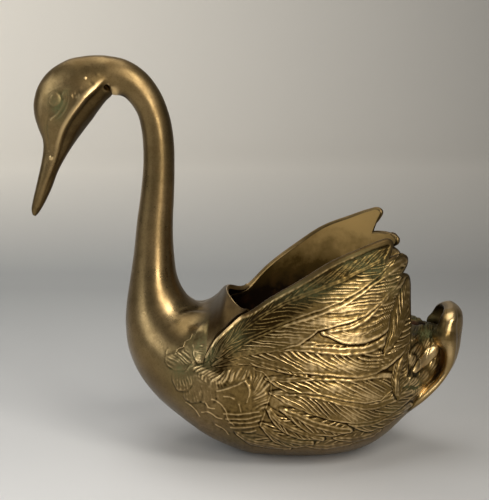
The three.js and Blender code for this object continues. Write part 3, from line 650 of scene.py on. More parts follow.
def carving(points):
    """Height of the carving over the hull, in millimetres, at points of its left side."""
    across, down = (a.ravel() for a in on_drawing(points))
    # drawn lines waver a little
    wander = [0.55 * grain(across, down, 6, turn, salt) for turn, salt in ((20, 5), (50, 7))]
    across, down = across + wander[0], down + wander[1]
    height = np.zeros(across.size)
    sheet = height, across, down
    for k, one in enumerate(RUMP):
        scale(*sheet, *one, rib=0.5, ribs=2.3, seed=k + 80)
    feather(*sheet, **LEAF)
    for one in FEATHERS:
        feather(*sheet, **one)
    patch = np.hypot(*turned(across, down, *FIELD, 0))
    height[:] = mix(height, 0.3 + 0.3 * (1 - patch**2), smoothstep(1.06, 0.94, patch))
    for line in RIPPLES:
        raised_line(*sheet, line, *RIPPLE)
    for k, one in enumerate(BREAST_SCALES):
        scale(*sheet, *one, ribs=3, seed=k + 60)
    for lump in BREAST_LUMPS:
        bump(*sheet, *lump)
    for strip in RUFFLES:
        ruffle(*sheet, **strip)
    for line in BELLY_LINES:
        raised_line(*sheet, line, *BELLY_LINE)
    # the casting's skin is rough on the carved parts, apart from the rump
    breast = smoothstep(170, 185, across) * smoothstep(335, 350, down)
    rough = np.maximum(feathered(across, down), 0.7 * breast)
    rough = rough * smoothstep(410, 404, across + 0.3 * np.minimum(down - 395, 0))
    skin_grain = 0.1 * grain(across, down, 3.3, 33) + 0.05 * grain(across, down, 1.7, 68)
    return (height + rough * skin_grain).reshape(points.shape[:-1])


def vent(points, middle, radius):
    """1 in the vent hole at the throat, 0 around it."""
    across, down = on_drawing(points)
    return np.exp(-((np.hypot(across - middle[0], down - middle[1]) / radius) ** 4))


def throat(points):
    """The swelling under the joint of head and neck, with the vent hole beside it."""
    swell = 3.6 * spot(*on_drawing(points), (113.5, 92), (8, 8)) * bell(points[..., 1], 6.5)
    hole = vent(points, *VENT)
    return swell * (1 - hole) - 2.6 * hole


# Meshes

ZERO = np.array((MIDDLE_X, 0, 0))  # the scene's zero, in the drawing's millimetres
EASE = 0.3  # points are eased back from this near to the box on
SMOOTH_ANGLE = math.radians(70)


def in_metres(points):
    """The drawing's millimetres as the scene's metres."""
    return (points - ZERO) / 1000


def in_millimetres(points):
    """The scene's metres as the drawing's millimetres."""
    return np.asarray(points) * 1000 + ZERO


def ring_quads(rows, count):
    """The numbers of the points of closed rings, of their next ones, and the quads between."""
    grid = np.arange(rows * count).reshape(rows, count)
    after = np.roll(grid, -1, axis=1)
    return grid, after, np.stack([grid[:-1], after[:-1], after[1:], grid[1:]], -1).reshape(-1, 4)


def closed_rings(rings, outer):
    """A wall lofted through rings, closed at both ends; a ring's first points are outside."""
    grid, _, quads = ring_quads(*rings.shape[:2])
    caps = []
    for row, flip in ((grid[0], True), (grid[-1], False)):
        one, two = row[:outer], row[outer:][::-1]
        i = j = 0
        while i < len(one) - 1 or j < len(two) - 1:
            ahead = (i + 1) / len(one) <= (j + 1) / len(two)
            if j == len(two) - 1 or (ahead and i < len(one) - 1):
                tri = (one[i], one[i + 1], two[j])
                i += 1
            else:
                tri = (one[i], two[j + 1], two[j])
                j += 1
            caps.append(tri[::-1] if flip else tri)
    return rings.reshape(-1, 3), quads, np.array(caps)


def capped(rings):
    """A solid lofted through rings, closed at both ends by fans of triangles."""
    rows, count = rings.shape[:2]
    grid, after, quads = ring_quads(rows, count)
    points = np.vstack([rings.reshape(-1, 3), rings[0].mean(0), rings[-1].mean(0)])
    first, last = rows * count, rows * count + 1
    tris = np.vstack([
        np.stack([after[0], grid[0], np.full(count, first)], -1),
        np.stack([grid[-1], after[-1], np.full(count, last)], -1)])
    return points, quads, tris


def kept_inside(points):
    """Eases points that come close to the model's box back into it; the foot may reach it."""
    points = np.array(points, float)
    low, high = map(in_millimetres, model_box)
    for axis in range(3):
        x = points[..., axis]
        over = (x - high[axis] + EASE) / EASE
        x = np.where(over > 0, high[axis] - EASE * np.exp(-np.maximum(over, 0)), x)
        if axis < 2:
            over = (low[axis] + EASE - x) / EASE
            x = np.where(over > 0, low[axis] + EASE * np.exp(-np.maximum(over, 0)), x)
        points[..., axis] = x
    return points


def select_only(*pieces):
    """Selects pieces and makes the last of them the active one."""
    bpy.ops.object.select_all(action="DESELECT")
    for piece in pieces:
        piece.select_set(True)
    bpy.context.view_layer.objects.active = pieces[-1]


def make_piece(name, points, quads, tris):
    """A mesh object from points in millimetres, faces outwards."""
    points = kept_inside(points)
    faces = [quads, tris]
    fans = np.vstack([quads[:, [0, 1, 2]], quads[:, [0, 2, 3]], tris])
    a, b, c = (points[fans[:, k]] for k in range(3))
    if np.einsum("ij,ij->i", a, np.cross(b, c)).sum() < 0:
        faces = [f[:, ::-1] for f in faces]
    mesh = bpy.data.meshes.new(name)
    mesh.vertices.add(len(points))
    mesh.vertices.foreach_set("co", in_metres(points).astype(np.float32).ravel())
    corners = np.concatenate([f.ravel() for f in faces])
    counts = np.concatenate([np.full(len(f), f.shape[1]) for f in faces])
    mesh.loops.add(len(corners))
    mesh.loops.foreach_set("vertex_index", corners.astype(np.int32))
    mesh.polygons.add(len(counts))
    starts = np.concatenate([[0], np.cumsum(counts)[:-1]])
    mesh.polygons.foreach_set("loop_start", starts.astype(np.int32))
    mesh.update(calc_edges=True)
    mesh.validate()
    piece = bpy.data.objects.new(name, mesh)
    bpy.context.collection.objects.link(piece)
    select_only(piece)
    bpy.ops.object.shade_smooth_by_angle(angle=SMOOTH_ANGLE)
    return piece


def finished(piece, node, finish, wear_and_painted_light, green=0, inside=0, gilt=0):
    """Gives a piece its place in the model, its material and what the material reads."""
    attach(piece, "root")
    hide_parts(node)
    slot, material = finish
    piece.data.materials.clear()
    piece.data.materials.append(material)
    count = len(piece.data.vertices)
    for mark, values in (("wear_and_painted_light", wear_and_painted_light), ("green", green), ("inside", inside), ("gilt", gilt)):
        layer = piece.data.attributes.new(mark, "FLOAT", "POINT")
        layer.data.foreach_set("value", np.full(count, np.ravel(values), np.float32))


def both_sides(name, finish, left, right=None):
    """The left piece and its mirror image, or its own right piece."""
    for side, (rings, outer, marks) in (("left", left), ("right", right or left)):
        points, quads, tris = closed_rings(rings, outer)
        if side == "right":
            points = points * (1, -1, 1)
        piece = make_piece(f"{name}_{side}_cast", points, quads, tris)
        finished(piece, f"{name}_{side}", finish, **marks)


def widened(values, count, value):
    """Rows of values, each followed by the given number of equal ones."""
    return np.concatenate([values, np.full((len(values), count), float(value))], 1)


def blurred(values, reach):
    """Mean over a square of a grid, for telling hollows from ridges."""
    size = 2 * reach + 1
    for _ in range(2):
        padded = np.pad(values, ((reach, reach), (0, 0)), "edge")
        total = np.insert(np.cumsum(padded, axis=0), 0, 0, axis=0)
        values = ((total[size:] - total[:-size]) / size).T
    return values


def plain_painted_light(points):
    """Painted light on the smooth parts: painted shade in the valley between breast and wings and
    on the lower breast, and a painted highlight on the breast's flare.
    """
    across, down = on_drawing(points)
    valley = smoothstep(194, 212, across) * smoothstep(345, 325, down) * smoothstep(270, 285, down)
    low = spot(across, down, (150, 388), (24, 30))
    flare = spot(across, down, (171, 313), (9, 13))
    return 0.5 - 0.27 * valley - 0.14 * low + 0.2 * flare


def wear_and_painted_light_of(height, points):
    """1 on ridges that hands have rubbed bright, 0 in hollows, 0.5 on plain metal; rubbed spots
    also get a painted highlight, and the left part painted shade.
    """
    wear_and_painted_light = 0.5 + (height - blurred(height, 4)) * 1.6
    across, down = on_drawing(points)
    rubbed = np.zeros(across.shape)
    for worn in WORN:
        rubbed = np.maximum(rubbed, spot(across, down, *worn))
    left = smoothstep(345, 235, across) * smoothstep(215, 240, across)
    # rubbed spots are lighter, partly as polish and partly as a painted highlight on their swell;
    # the left part gets painted shade
    wear_and_painted_light = 0.5 + (wear_and_painted_light - 0.5) * (1 - 0.1 * left) + 0.2 * rubbed - 0.07 * left
    return np.clip(wear_and_painted_light, 0, 1)


GREEN_SPOTS = [  # where verdigris sits: middle, radii, strength
    ((202, 345), (13, 20), 1.2), ((184, 368), (17, 15), 1), ((235, 335), (14, 22), 0.4),
    ((300, 290), (70, 14), 0.42), ((365, 262), (28, 12), 0.55), ((378, 272), (20, 12), 0.65),
    ((392, 288), (14, 8), 0.6), ((425, 335), (14, 12), 0.8), ((416, 384), (14, 9), 0.9),
    ((395, 408), (16, 9), 0.5), ((370, 425), (20, 8), 0.4), ((300, 442), (30, 5), 0.4),
    ((58, 106), (9, 14), 1.2), ((47, 128), (3, 10), 0.6), ((66, 92), (5, 5), 1),
    ((190, 400), (16, 10), 0.3), ((240, 437), (26, 8), 0.3),
]


def green_of(points, wear_and_painted_light):
    """How much verdigris sits there, least where the brass is worn."""
    across, down = on_drawing(points)
    green = np.zeros(across.shape)
    for middle, radii, strength in GREEN_SPOTS:
        green = np.maximum(green, strength * spot(across, down, middle, radii))
    return green * (1.15 - wear_and_painted_light)


def gilt_of(points):
    """1 where the brass is yellow among the feathers, 0 on the brown smooth parts."""
    across, down = on_drawing(points)
    return feathered(across, down) * smoothstep(428, 408, across - 0.25 * (360 - down))


def over_hull(places, low, high, count):
    """Places, turns, points and outward ways of a grid on the hull, from turn low to turn high."""
    turn = mix(low[:, None], high[:, None], np.linspace(0, 1, count))
    place = np.broadcast_to(places[:, None], turn.shape)
    return place, turn, hull.point(place, turn), hull.normal(place, turn)


def wall_rings(places, low, high, outer_count, inner_count, wall, relief, floor=0):
    """A wall between two turns, carved outside and plain inside, and its marks."""
    place, turn, skin, out = over_hull(places, low, high, outer_count)
    height = relief(place, turn, skin)
    outside = skin + out * height[..., None]
    outside[..., 2] = np.maximum(outside[..., 2], 0)
    _, _, inside, out = over_hull(places, low, high, inner_count)
    inside = inside - out * wall[:, None, None]
    inside[..., 2] = np.maximum(inside[..., 2], floor)
    rings = np.concatenate([outside, inside[:, ::-1]], 1)
    rings[..., 1] = np.minimum(rings[..., 1], -SEAM_HALF)
    # on the neck and breast, painted shade and a painted highlight are added
    wear_and_painted_light = wear_and_painted_light_of(height, skin) + (plain_painted_light(skin) - 0.5) * (place <= BOWL_FRONT)
    return rings, outer_count, {
        "wear_and_painted_light": widened(wear_and_painted_light, inner_count, 0.5),
        "green": widened(green_of(skin, wear_and_painted_light), inner_count, 0),
        "inside": widened(np.zeros(wear_and_painted_light.shape), inner_count, 1),
        "gilt": widened(gilt_of(skin), inner_count, 1),
    }


# Finishes. Colours are red, green and blue from 0 to 255, as they are seen.

BROWN = (113, 94, 60), (142, 119, 81)  # smooth parts, darker and lighter
YELLOW = (118, 96, 53), (140, 115, 70)  # among the feathers
TARNISH = (84, 60, 30)
FLECKS = (70, 50, 26)
# rubbed ridges and painted highlights share a colour, as do hollows and painted shade
RUBBED_AND_HIGHLIGHT = (214, 184, 132)
HOLLOWS_AND_SHADE = (40, 27, 8)
VERDIGRIS = (96, 99, 62)
DEPTHS = (34, 21, 7), (95, 73, 28), (177, 147, 91)  # the bowl's inside, from floor to rim: patina, with painted shade darkest on the floor
RUST = (84, 48, 26)


class Wiring:
    """Shader nodes of one new material."""

    def __init__(self, name):
        self.material = bpy.data.materials.new(name)
        self.material.use_nodes = True
        self.tree = self.material.node_tree
        self.tree.nodes.clear()

    def add(self, kind, settings=None, **inputs):
        """A node; an input goes by its name, or by its number after an underscore."""
        node = self.tree.nodes.new(kind)
        for key, value in (settings or {}).items():
            setattr(node, key, value)
        for key, value in inputs.items():
            socket = node.inputs[int(key[1:]) if key[0] == "_" else key.replace("_", " ")]
            if isinstance(value, bpy.types.NodeSocket):
                self.tree.links.new(value, socket)
            else:
                socket.default_value = value
        return node

    def where(self):
        """Places on the object, in metres."""
        return self.add("ShaderNodeTexCoord").outputs["Object"]

    def mark(self, name):
        """One of the values that every point carries."""
        return self.add("ShaderNodeAttribute", {"attribute_name": name}).outputs["Fac"]

    def axes(self, where):
        """Places along x, y and z."""
        return self.add("ShaderNodeSeparateXYZ", Vector=where).outputs

    def math(self, kind, a, b, clamp=False):
        """Two values added, subtracted or multiplied, kept from 0 to 1 where clamp is set."""
        settings = {"operation": kind, "use_clamp": clamp}
        return self.add("ShaderNodeMath", settings, _0=a, _1=b).outputs[0]

    def plus(self, a, b, clamp=False):
        """The sum of two values."""
        return self.math("ADD", a, b, clamp)

    def minus(self, a, b, clamp=False):
        """The first value less the second."""
        return self.math("SUBTRACT", a, b, clamp)

    def times(self, a, b, clamp=False):
        """The product of two values."""
        return self.math("MULTIPLY", a, b, clamp)

    def blend(self, share, a, b):
        """A colour the given share of the way from a to b."""
        a, b = (linear(c) if isinstance(c, tuple) else c for c in (a, b))
        return self.add("ShaderNodeMix", {"data_type": "RGBA"}, _0=share, _6=a, _7=b).outputs[2]

    def spread(self, value, low, high, to_low=0.0, to_high=1.0):
        """A value from low to high, laid over the way from to_low to to_high."""
        return self.add("ShaderNodeMapRange", _0=value, _1=low, _2=high, _3=to_low,
                        _4=to_high).outputs[0]

    def noise(self, where, scale, detail, rough):
        """Cloudy values round 0.5, as many clouds to a metre as the scale says."""
        return self.add("ShaderNodeTexNoise", Vector=where, Scale=scale, Detail=detail,
                        Roughness=rough).outputs[0]

    def surface(self, **inputs):
        """Ends the wiring and gives the material."""
        shader = self.add("ShaderNodeBsdfPrincipled", **inputs).outputs[0]
        self.add("ShaderNodeOutputMaterial", Surface=shader)
        return self.material


def linear(colour):
    """A colour as it is seen, turned into amounts of light."""
    return tuple((c / 255 / 12.92 if c < 11 else ((c / 255 + 0.055) / 1.055) ** 2.4)
                 for c in colour) + (1,)


def aged_brass(name, rough):
    """Brown aged brass that turns yellow among the feathers, dark in hollows and in painted shade,
    bright on ridges and in painted highlights.
    """
    w = Wiring(name)
    where = w.where()
    wear_and_painted_light, green, inside, gilt = map(w.mark, ("wear_and_painted_light", "green", "inside", "gilt"))
    height = w.axes(where)[2]
    cloud = w.noise(where, 24, 4, 0.6)
    patch = w.noise(where, 90, 3, 0.65)
    fine = w.noise(where, 850, 2, 0.5)
    # the tone of the metal, darker in patches and in fine flecks
    clouded = w.spread(cloud, 0.38, 0.66)
    tone = w.blend(gilt, w.blend(clouded, *BROWN), w.blend(clouded, *YELLOW))
    tone = w.blend(w.spread(patch, 0.5, 0.78, 0, 0.45), tone, TARNISH)
    tone = w.blend(w.spread(fine, 0.48, 0.72, 0, 0.3), tone, FLECKS)
    # bright ridges and painted highlights, dark hollows and painted shade, and verdigris
    worn = w.plus(wear_and_painted_light, w.times(w.minus(patch, 0.5), 0.2))
    colour = w.blend(w.spread(worn, 0.54, 0.86), tone, RUBBED_AND_HIGHLIGHT)
    hollow = w.spread(worn, 0.47, 0.14)
    colour = w.blend(hollow, colour, HOLLOWS_AND_SHADE)
    speckle = w.plus(w.times(fine, 0.5), w.times(patch, 0.6))
    stained = w.times(green, w.spread(speckle, 0.4, 0.66), True)
    colour = w.blend(stained, colour, VERDIGRIS)
    # the bowl's inside is darker the deeper it lies, painted shade over its patina, with rusty
    # patches low down
    level = w.plus(height, w.times(patch, 0.04))
    deep = w.blend(w.spread(level, 0.118, 0.142), *DEPTHS[:2])
    deep = w.blend(w.spread(level, 0.138, 0.166), deep, DEPTHS[2])
    rust = w.times(w.spread(patch, 0.5, 0.62), w.spread(level, 0.16, 0.12), True)
    deep = w.blend(w.times(rust, 0.35), deep, RUST)
    colour = w.blend(inside, colour, deep)
    # stained and inner parts are less metallic, hollow ones less glossy
    metal = w.minus(1.0, w.times(stained, 0.6), True)
    metal = w.minus(metal, w.times(inside, 0.5), True)
    gloss = w.spread(patch, 0.3, 0.75, rough - 0.05, rough + 0.1)
    gloss = w.plus(gloss, w.spread(height, 0.22, 0.27, 0, 0.1))
    gloss = w.plus(gloss, w.times(hollow, 0.2))
    gloss = w.plus(gloss, w.times(inside, 0.28))
    gloss = w.plus(gloss, w.times(stained, 0.2), True)
    pits = w.plus(w.times(fine, 0.3), patch)
    pitted = w.add("ShaderNodeBump", Strength=0.3, Distance=0.0003, Height=pits).outputs[0]
    return w.surface(Base_Color=colour, Metallic=metal, Roughness=gloss, Specular_IOR_Level=0.25,
                     Normal=pitted)


SMOOTH = ("smooth_brass", aged_brass("smooth_aged_brass", 0.3))
FEATHERED = ("feathered_brass", aged_brass("feathered_aged_brass", 0.36))
BRAZE = ("braze", aged_brass("brazed_seam", 0.36))


# Neck and breast

NECK_ROUND, BOWL_ROUND = (230, 24), (205, 36)  # points round a half's outside and its inside
CARVED_FROM = -68  # rings lie closest from here on
REAR_FROM = 96
BOWL_RELIEF, TAIL_RELIEF = 0.9, 1.2  # the carving stays within these heights at the rump


def wall_at(places):
    """The thin wall of the neck grows into the breast's."""
    return mix(NECK_WALL, BODY_WALL, smoothstep(-108, NECK_FOOT, places))


def shoulder(place):
    """The turn at which the breast ends behind the saddle, where the deck begins."""
    share = np.clip((place - SADDLE) / (BOWL_FRONT - SADDLE), 0, 1)
    return mix(1.0, wing_top(float(BOWL_FRONT)), share)


def neck_relief(place, turn, skin):
    """Smooth down to the breast, with a crease and a small swelling behind it."""
    across, down = on_drawing(skin)
    height = carving(skin) * smoothstep(-78, -70, place)
    crease = bell(down - 309 - 0.012 * (across - 196) ** 2, 2.2)
    crease = crease * smoothstep(178, 188, across) * smoothstep(209, 197, across)
    lump = spot(across, down, (199, 330), (9, 7))
    relief = height + (0.8 * lump - 0.9 * crease) * smoothstep(-92, -84, place)
    by_deck = smoothstep(0, 0.2, shoulder(place) - turn)
    return throat(skin) + relief * mix(1, by_deck, smoothstep(-56, SADDLE, place))


def make_neck():
    """The two smooth halves from the head's joint to the bowl."""
    places = np.concatenate([
        np.linspace(HEAD_JOINT, NECK_FOOT, 110)[:-1],
        np.linspace(NECK_FOOT, CARVED_FROM, 44)[:-1], np.linspace(CARVED_FROM, BOWL_FRONT, 165)])
    high = np.minimum(shoulder(places), nape_turn(places))
    both_sides("neck_and_breast", SMOOTH, wall_rings(
        places, -keel_turn(places), high, *NECK_ROUND, wall_at(places), neck_relief))


# Bowl

def bowl_relief(_place, _turn, skin):
    """The carving, which stays low at the rump."""
    return np.minimum(carving(skin), BOWL_RELIEF)


def make_bowl():
    """The lower walls with the foot and the rump."""
    places = np.concatenate([
        np.linspace(BOWL_FRONT, REAR_FROM, 310)[:-1], np.linspace(REAR_FROM, TAIL_JOINT, 90)])
    high = np.where(places > WING_REAR, rump_rim(places), wing_seam(places))
    both_sides("bowl", FEATHERED, wall_rings(
        places, -keel_turn(places), high, *BOWL_ROUND, np.full(len(places), BODY_WALL),
        bowl_relief, FLOOR_WALL))


# Wings

WING_ROWS = 350
WING_UP = (195, 60)  # points up to the level line, and from there to the outline
WING_WITHIN = 14
RIM_STEPS = 9  # points round the rim


def distance_to(line, points):
    """How far side view points lie from a line of points."""
    gap = np.full(points.shape[:-1], 1e9)
    for a, b in zip(line[:-1], line[1:]):
        way = b - a
        t = np.clip(((points - a) @ way) / (way @ way), 0, 1)
        gap = np.minimum(gap, np.linalg.norm(points - a - t[..., None] * way, axis=-1))
    return gap


def wing_grid(outline, level):
    """Places and turns of a wing, from its seam over a level line to its outline."""
    curve, lengths = line_of(outline)
    along = np.linspace(0, lengths[-1], WING_ROWS)
    share = along / lengths[-1]
    middle = Curve([row[0] for row in level], [row[1:] for row in level])(share)
    seam_place = middle[:, 2]
    lines = [(seam_place, wing_seam(seam_place)), hull.find(middle[:, :2], *WINGS),
             hull.find(curve(along), *WINGS)]
    steps = [np.linspace(0, 1, WING_UP[0], endpoint=False), np.linspace(0, 1, WING_UP[1])]
    place, turn = (np.concatenate([
        mix(lines[k][which][:, None], lines[k + 1][which][:, None], steps[k]) for k in (0, 1)], 1)
        for which in (0, 1))
    return share, place, turn, curve(np.linspace(0, lengths[-1], 240))


def rim_points(outside, inside, out, share):
    """The rim's half round, square to the outline, flat at the front where the rim begins."""
    ahead = np.gradient(outside, axis=0)
    ahead /= np.linalg.norm(ahead, axis=1, keepdims=True)
    away = np.cross(ahead, out)
    away /= np.linalg.norm(away, axis=1, keepdims=True)
    if away[WING_ROWS // 3, 2] < 0:
        away = -away
    angles = (np.arange(RIM_STEPS) + 0.5) / RIM_STEPS * math.pi
    start, end = outside[:, None], inside[:, None]
    radius = np.linalg.norm(start - end, axis=-1)[..., None] / 2
    lip = mix(start, end, ((1 - np.cos(angles)) / 2)[None, :, None])
    bulge = mix(0.15, 0.85, smoothstep(0.13, 0.2, share))[:, None, None]
    return lip + away[:, None] * np.sin(angles)[None, :, None] * radius * bulge


def wing_rings(outline, level, edge_tone):
    """A wing with its carving, a raised rim and three feather tips, and its marks."""
    share, place, turn, edge = wing_grid(outline, level)
    skin, out = hull.point(place, turn), hull.normal(place, turn)
    gap = distance_to(edge, skin[..., [0, 2]])
    seam_gap = (turn - wing_seam(place)) * 90
    off_seam = smoothstep(0.5, 8, seam_gap)
    # the rim runs along the front two thirds, with a hollow line below it
    front = smoothstep(0.66, 0.6, share)[:, None]
    width = mix(0.9, 2.3, front * smoothstep(0, 0.35, share)[:, None])
    rim = smoothstep(width + 0.5, width - 0.7, gap) * off_seam
    height = carving(skin)
    height = height - 0.3 * front * bell(gap - width - 1.2, 0.8)
    height = mix(height, 0.1 + 0.4 * smoothstep(0, 3, gap), rim)
    proud = 0.75 * smoothstep(0, 14, seam_gap) * smoothstep(BOWL_FRONT, BOWL_FRONT + 7, place)
    outside = skin + out * np.minimum(height + proud, WING_PROUD - 0.02)[..., None]
    pick = np.linspace(0, place.shape[1] - 1, WING_WITHIN).round().astype(int)
    inside = skin[:, pick] - out[:, pick] * BODY_WALL
    lip = rim_points(outside[:, -1], inside[:, -1], out[:, -1], share)
    rings = np.concatenate([outside, lip, inside[:, ::-1]], 1)
    rings[..., 1] = np.minimum(rings[..., 1], -SEAM_HALF)
    # a plainer field beside the rim, and a bright, broken line along it
    wear_and_painted_light = wear_and_painted_light_of(height, skin)
    jagged = 0.7 + 0.3 * np.sin(skin[..., 0] * 1.7) * np.sin(skin[..., 0] * 0.6 + 1)
    line = bell(gap - width, 0.55) * off_seam * jagged
    line = line * smoothstep(0.58, 0.5, share)[:, None]
    field = smoothstep(19, 13, gap) * front
    edge_wear = mix(edge_tone, 0.72, smoothstep(0.2, 0.12, share)[:, None])
    wear_and_painted_light = mix(0.5 + (wear_and_painted_light - 0.5) * (1 - 0.3 * field) - 0.28 * field, edge_wear, rim) + 0.55 * line
    green, gilt = green_of(skin, wear_and_painted_light), gilt_of(skin) * (1 - 0.8 * rim)
    wear_and_painted_light = np.concatenate([wear_and_painted_light, np.repeat(edge_wear, RIM_STEPS, 1)], 1)
    return rings, wear_and_painted_light.shape[1], {
        "wear_and_painted_light": widened(wear_and_painted_light, WING_WITHIN, 0.5),
        "green": widened(green, RIM_STEPS + WING_WITHIN, 0),
        "inside": widened(np.zeros(wear_and_painted_light.shape), WING_WITHIN, 1),
        "gilt": widened(widened(gilt, RIM_STEPS, 0.1), WING_WITHIN, 1),
    }


RIM = [  # both outlines from the front on: x and z
    (-28.2, 82), (-22.4, 91), (-15.6, 97.6), (-6.8, 103.8), (0.8, 108.2), (15, 120.2),
    (35.4, 134.2), (55, 146.8), (75, 155.2), (88, 159.4)]
LEFT_OUTLINE = RIM + [
    (94, 160.3), (96.4, 158.6), (95.8, 154), (94, 149.5), (92.8, 146.6), (98, 148), (104, 148.2),
    (107.4, 146), (107.6, 142.6), (105.4, 139), (102.6, 135.6), (105.6, 135), (108.4, 133.4),
    (109.8, 129), (110, 120), (110.4, 104), (111, 90)]
RIGHT_OUTLINE = RIM[:-1] + [
    (88, 160.6), (94, 162.4), (96.2, 161), (94.4, 156), (90, 149.6), (87, 143.6), (94, 144.6),
    (103, 144.8), (107.6, 143.4), (107.8, 140.6), (105.4, 138), (102.6, 135.2), (105.6, 134.6),
    (108.4, 132.6), (109.8, 128.4), (110, 120), (110.4, 104), (111, 90)]
LEVEL = [  # share of the outline, x and z on the level line, and place on the seam
    (0, -28.6, 79, -33), (0.2, 6, 92, 2), (0.45, 58, 112, 52), (0.6, 84, 128, 74),
    (0.66, 90.5, 136, 82), (0.7, 91.5, 139, 84), (0.76, 97, 135, 89), (0.82, 101.5, 130, 94),
    (0.88, 106, 118, 100), (0.94, 109, 104, 106), (1, 111.4, 89, 111.9),
]


def make_wings():
    """The upper walls; the right wing's tips are those of the far wing."""
    both_sides("wing", FEATHERED, wing_rings(LEFT_OUTLINE, LEVEL, 0.25),
               wing_rings(RIGHT_OUTLINE, LEVEL, 0.4))


# Deck

DECK_END = 0.985
TUCK = 0.012  # the deck's sides reach a little under the wings
DECK_ROWS = 121
DECK_STEPS = 50


def deck_rings():
    """The smooth arch from the saddle to the mouth, eased where it meets the wings."""
    across = np.linspace(-1, 1, DECK_ROWS)
    share = np.abs(across) * DECK_END
    first = mix(SADDLE, MOUTH_CORNER, share)
    edge = np.where(first < BOWL_FRONT, shoulder(first), wing_top(first))
    start = np.minimum(1, edge - TUCK * smoothstep(BOWL_FRONT - 3, BOWL_FRONT + 3, first))
    last = mix(MOUTH_FRONT, MOUTH_CORNER, share**2)
    end = mix(1, wing_top(float(MOUTH_CORNER)), share)
    t = np.linspace(0, 1, DECK_STEPS)
    place, turn = (mix(a[:, None], b[:, None], t) for a, b in ((first, last), (start, end)))
    skin, out = hull.point(place, turn), hull.normal(place, turn)
    rise = smoothstep(BOWL_FRONT - 2, BOWL_FRONT + 4, first)[:, None]
    rise = 0.8 * rise * smoothstep(0.2, 0, t)[None, :]
    flip = np.where(across > 0, -1, 1)[:, None]
    outside, inside = skin + out * rise[..., None], skin - out * BODY_WALL
    outside[..., 1] *= flip
    inside[..., 1] *= flip
    by_wing = smoothstep(0.36, 0.5, share)[1:-1, None, None]
    for _ in range(30):
        middle = outside[1:-1, 1:-1]
        around = outside[:-2, 1:-1] + outside[2:, 1:-1] + outside[1:-1, :-2] + outside[1:-1, 2:]
        outside[1:-1, 1:-1] = mix(middle, around / 4, 0.8 * by_wing)
    return np.concatenate([outside, inside[:, ::-1]], 1)


def make_deck():
    """It is worn bright along the bowl's mouth."""
    rings = deck_rings()
    # painted shade where the deck lies in the valley beside the neck
    wear_and_painted_light = plain_painted_light(rings)
    wear_and_painted_light[:, DECK_STEPS - 2:DECK_STEPS] = 0.7
    finished(make_piece("deck_cast", *closed_rings(rings, DECK_STEPS)), "deck", SMOOTH, wear_and_painted_light,
             inside=widened(np.zeros((DECK_ROWS, DECK_STEPS)), DECK_STEPS, 1))


# Brazed seams

SEAM_SIDE = 5  # points across half a seam
SEAM_ROUND = 2 * SEAM_SIDE - 1


def make_seam(name, last, count, keel):
    """A bead, ground flush, from the head's joint down the front or the nape."""
    places = np.linspace(HEAD_JOINT, last, count)
    edge = (keel_turn if keel else nape_turn)(places)
    turn = mix(edge[:, None], 1.0, np.linspace(0, 1, SEAM_SIDE))
    turn = np.concatenate([turn, turn[:, -2::-1]], 1) * (-1 if keel else 1)
    place = np.broadcast_to(places[:, None], turn.shape)
    skin, out = hull.point(place, turn), hull.normal(place, turn)
    relief = throat(skin)[..., None]
    mirror = np.where(np.arange(SEAM_ROUND) >= SEAM_SIDE, -1, 1)
    skin[..., 1] *= mirror
    out[..., 1] *= mirror
    outside, inside = skin + out * relief, skin - out * wall_at(places)[:, None, None]
    outside[..., 2] = np.maximum(outside[..., 2], 0)
    inside[..., 2] = np.maximum(inside[..., 2], FLOOR_WALL if keel else 0)
    rings = np.concatenate([outside, inside[:, ::-1]], 1)
    # painted shade and highlight, as on the smooth parts beside the seam
    finished(make_piece(f"{name}_bead", *closed_rings(rings, SEAM_ROUND)), name, BRAZE,
             plain_painted_light(rings), inside=widened(np.zeros(relief.shape[:2]), SEAM_ROUND, 1))


# Head

CHEEK = [(105, 78), (101, 83), (94, 90), (85, 98), (78, 107), (70, 118), (64, 129), (60, 140),
         (57, 152), (53, 165), (46, 183), (38, 206)]  # the ridge from the cheek along the bill
HEAD_FORMS = [  # the form and its values, as its function takes them
    # the hollow round the eye, the eye, its lower and its upper lid, and the bill's groove
    (mound, (58, 105), (9, 17), 27, -0.7, 3),
    (mound, (54.5, 99.5), (6, 7.2), 8, 1.35, 2.2),
    (raised_line, [(66, 97), (63.5, 104), (60, 111), (56, 116), (51, 120)], 1.1, 0.4),
    (raised_line, [(48, 93), (54, 89.5), (61, 88), (68, 89)], 1.1, 0.14),
    (raised_line, [(48, 118), (46.5, 128), (48, 140), (49, 150)], 1, -0.25),
    # the corner of the eye, a boss on the bill, and a pit behind the eye with two grains in it
    (mound, (64, 95), (2.5, 4), 20, 0.4),
    (mound, (51, 158), (2.2, 2.6), 0, 0.5),
    (mound, (75.5, 95), (4, 4.5), 0, -0.5),
    (bump, (74.5, 93), (1.4, 1.4), 0, 0.3),
    (bump, (77, 97), (1.5, 1.2), 0, 0.3),
    # uneven spots of the casting
    *((bump, place, (2.2, 1.6), 30, tall) for place, tall in (
        ((70, 76), 0.1), ((64, 81), 0.1), ((88, 66), 0.08), ((97, 74), 0.1),
        ((92, 84), -0.12), ((80, 88), 0.12), ((67, 86), -0.12), ((125, 83), 0.15))),
    (mound, (85, 78), (1.6, 1.6), 0, 0.3),
]
HEAD_BRIGHT = [((76, 95), 3), ((51, 158), 2), ((85, 78), 1.8)]  # middle, radius
HEAD_ROUND = 150  # points on each side of a ring
EYE_HOLLOW = ((59, 106), (9, 15))
EYE_BALL = ((54.5, 99.5), (5.9, 7.1))


def by_cheek(across, down):
    """Which points lie by the cheek's ridge, how far above it, and the share of its length."""
    near, along, off, length = beside(CHEEK, across, down, 26)
    return near, off, along / length


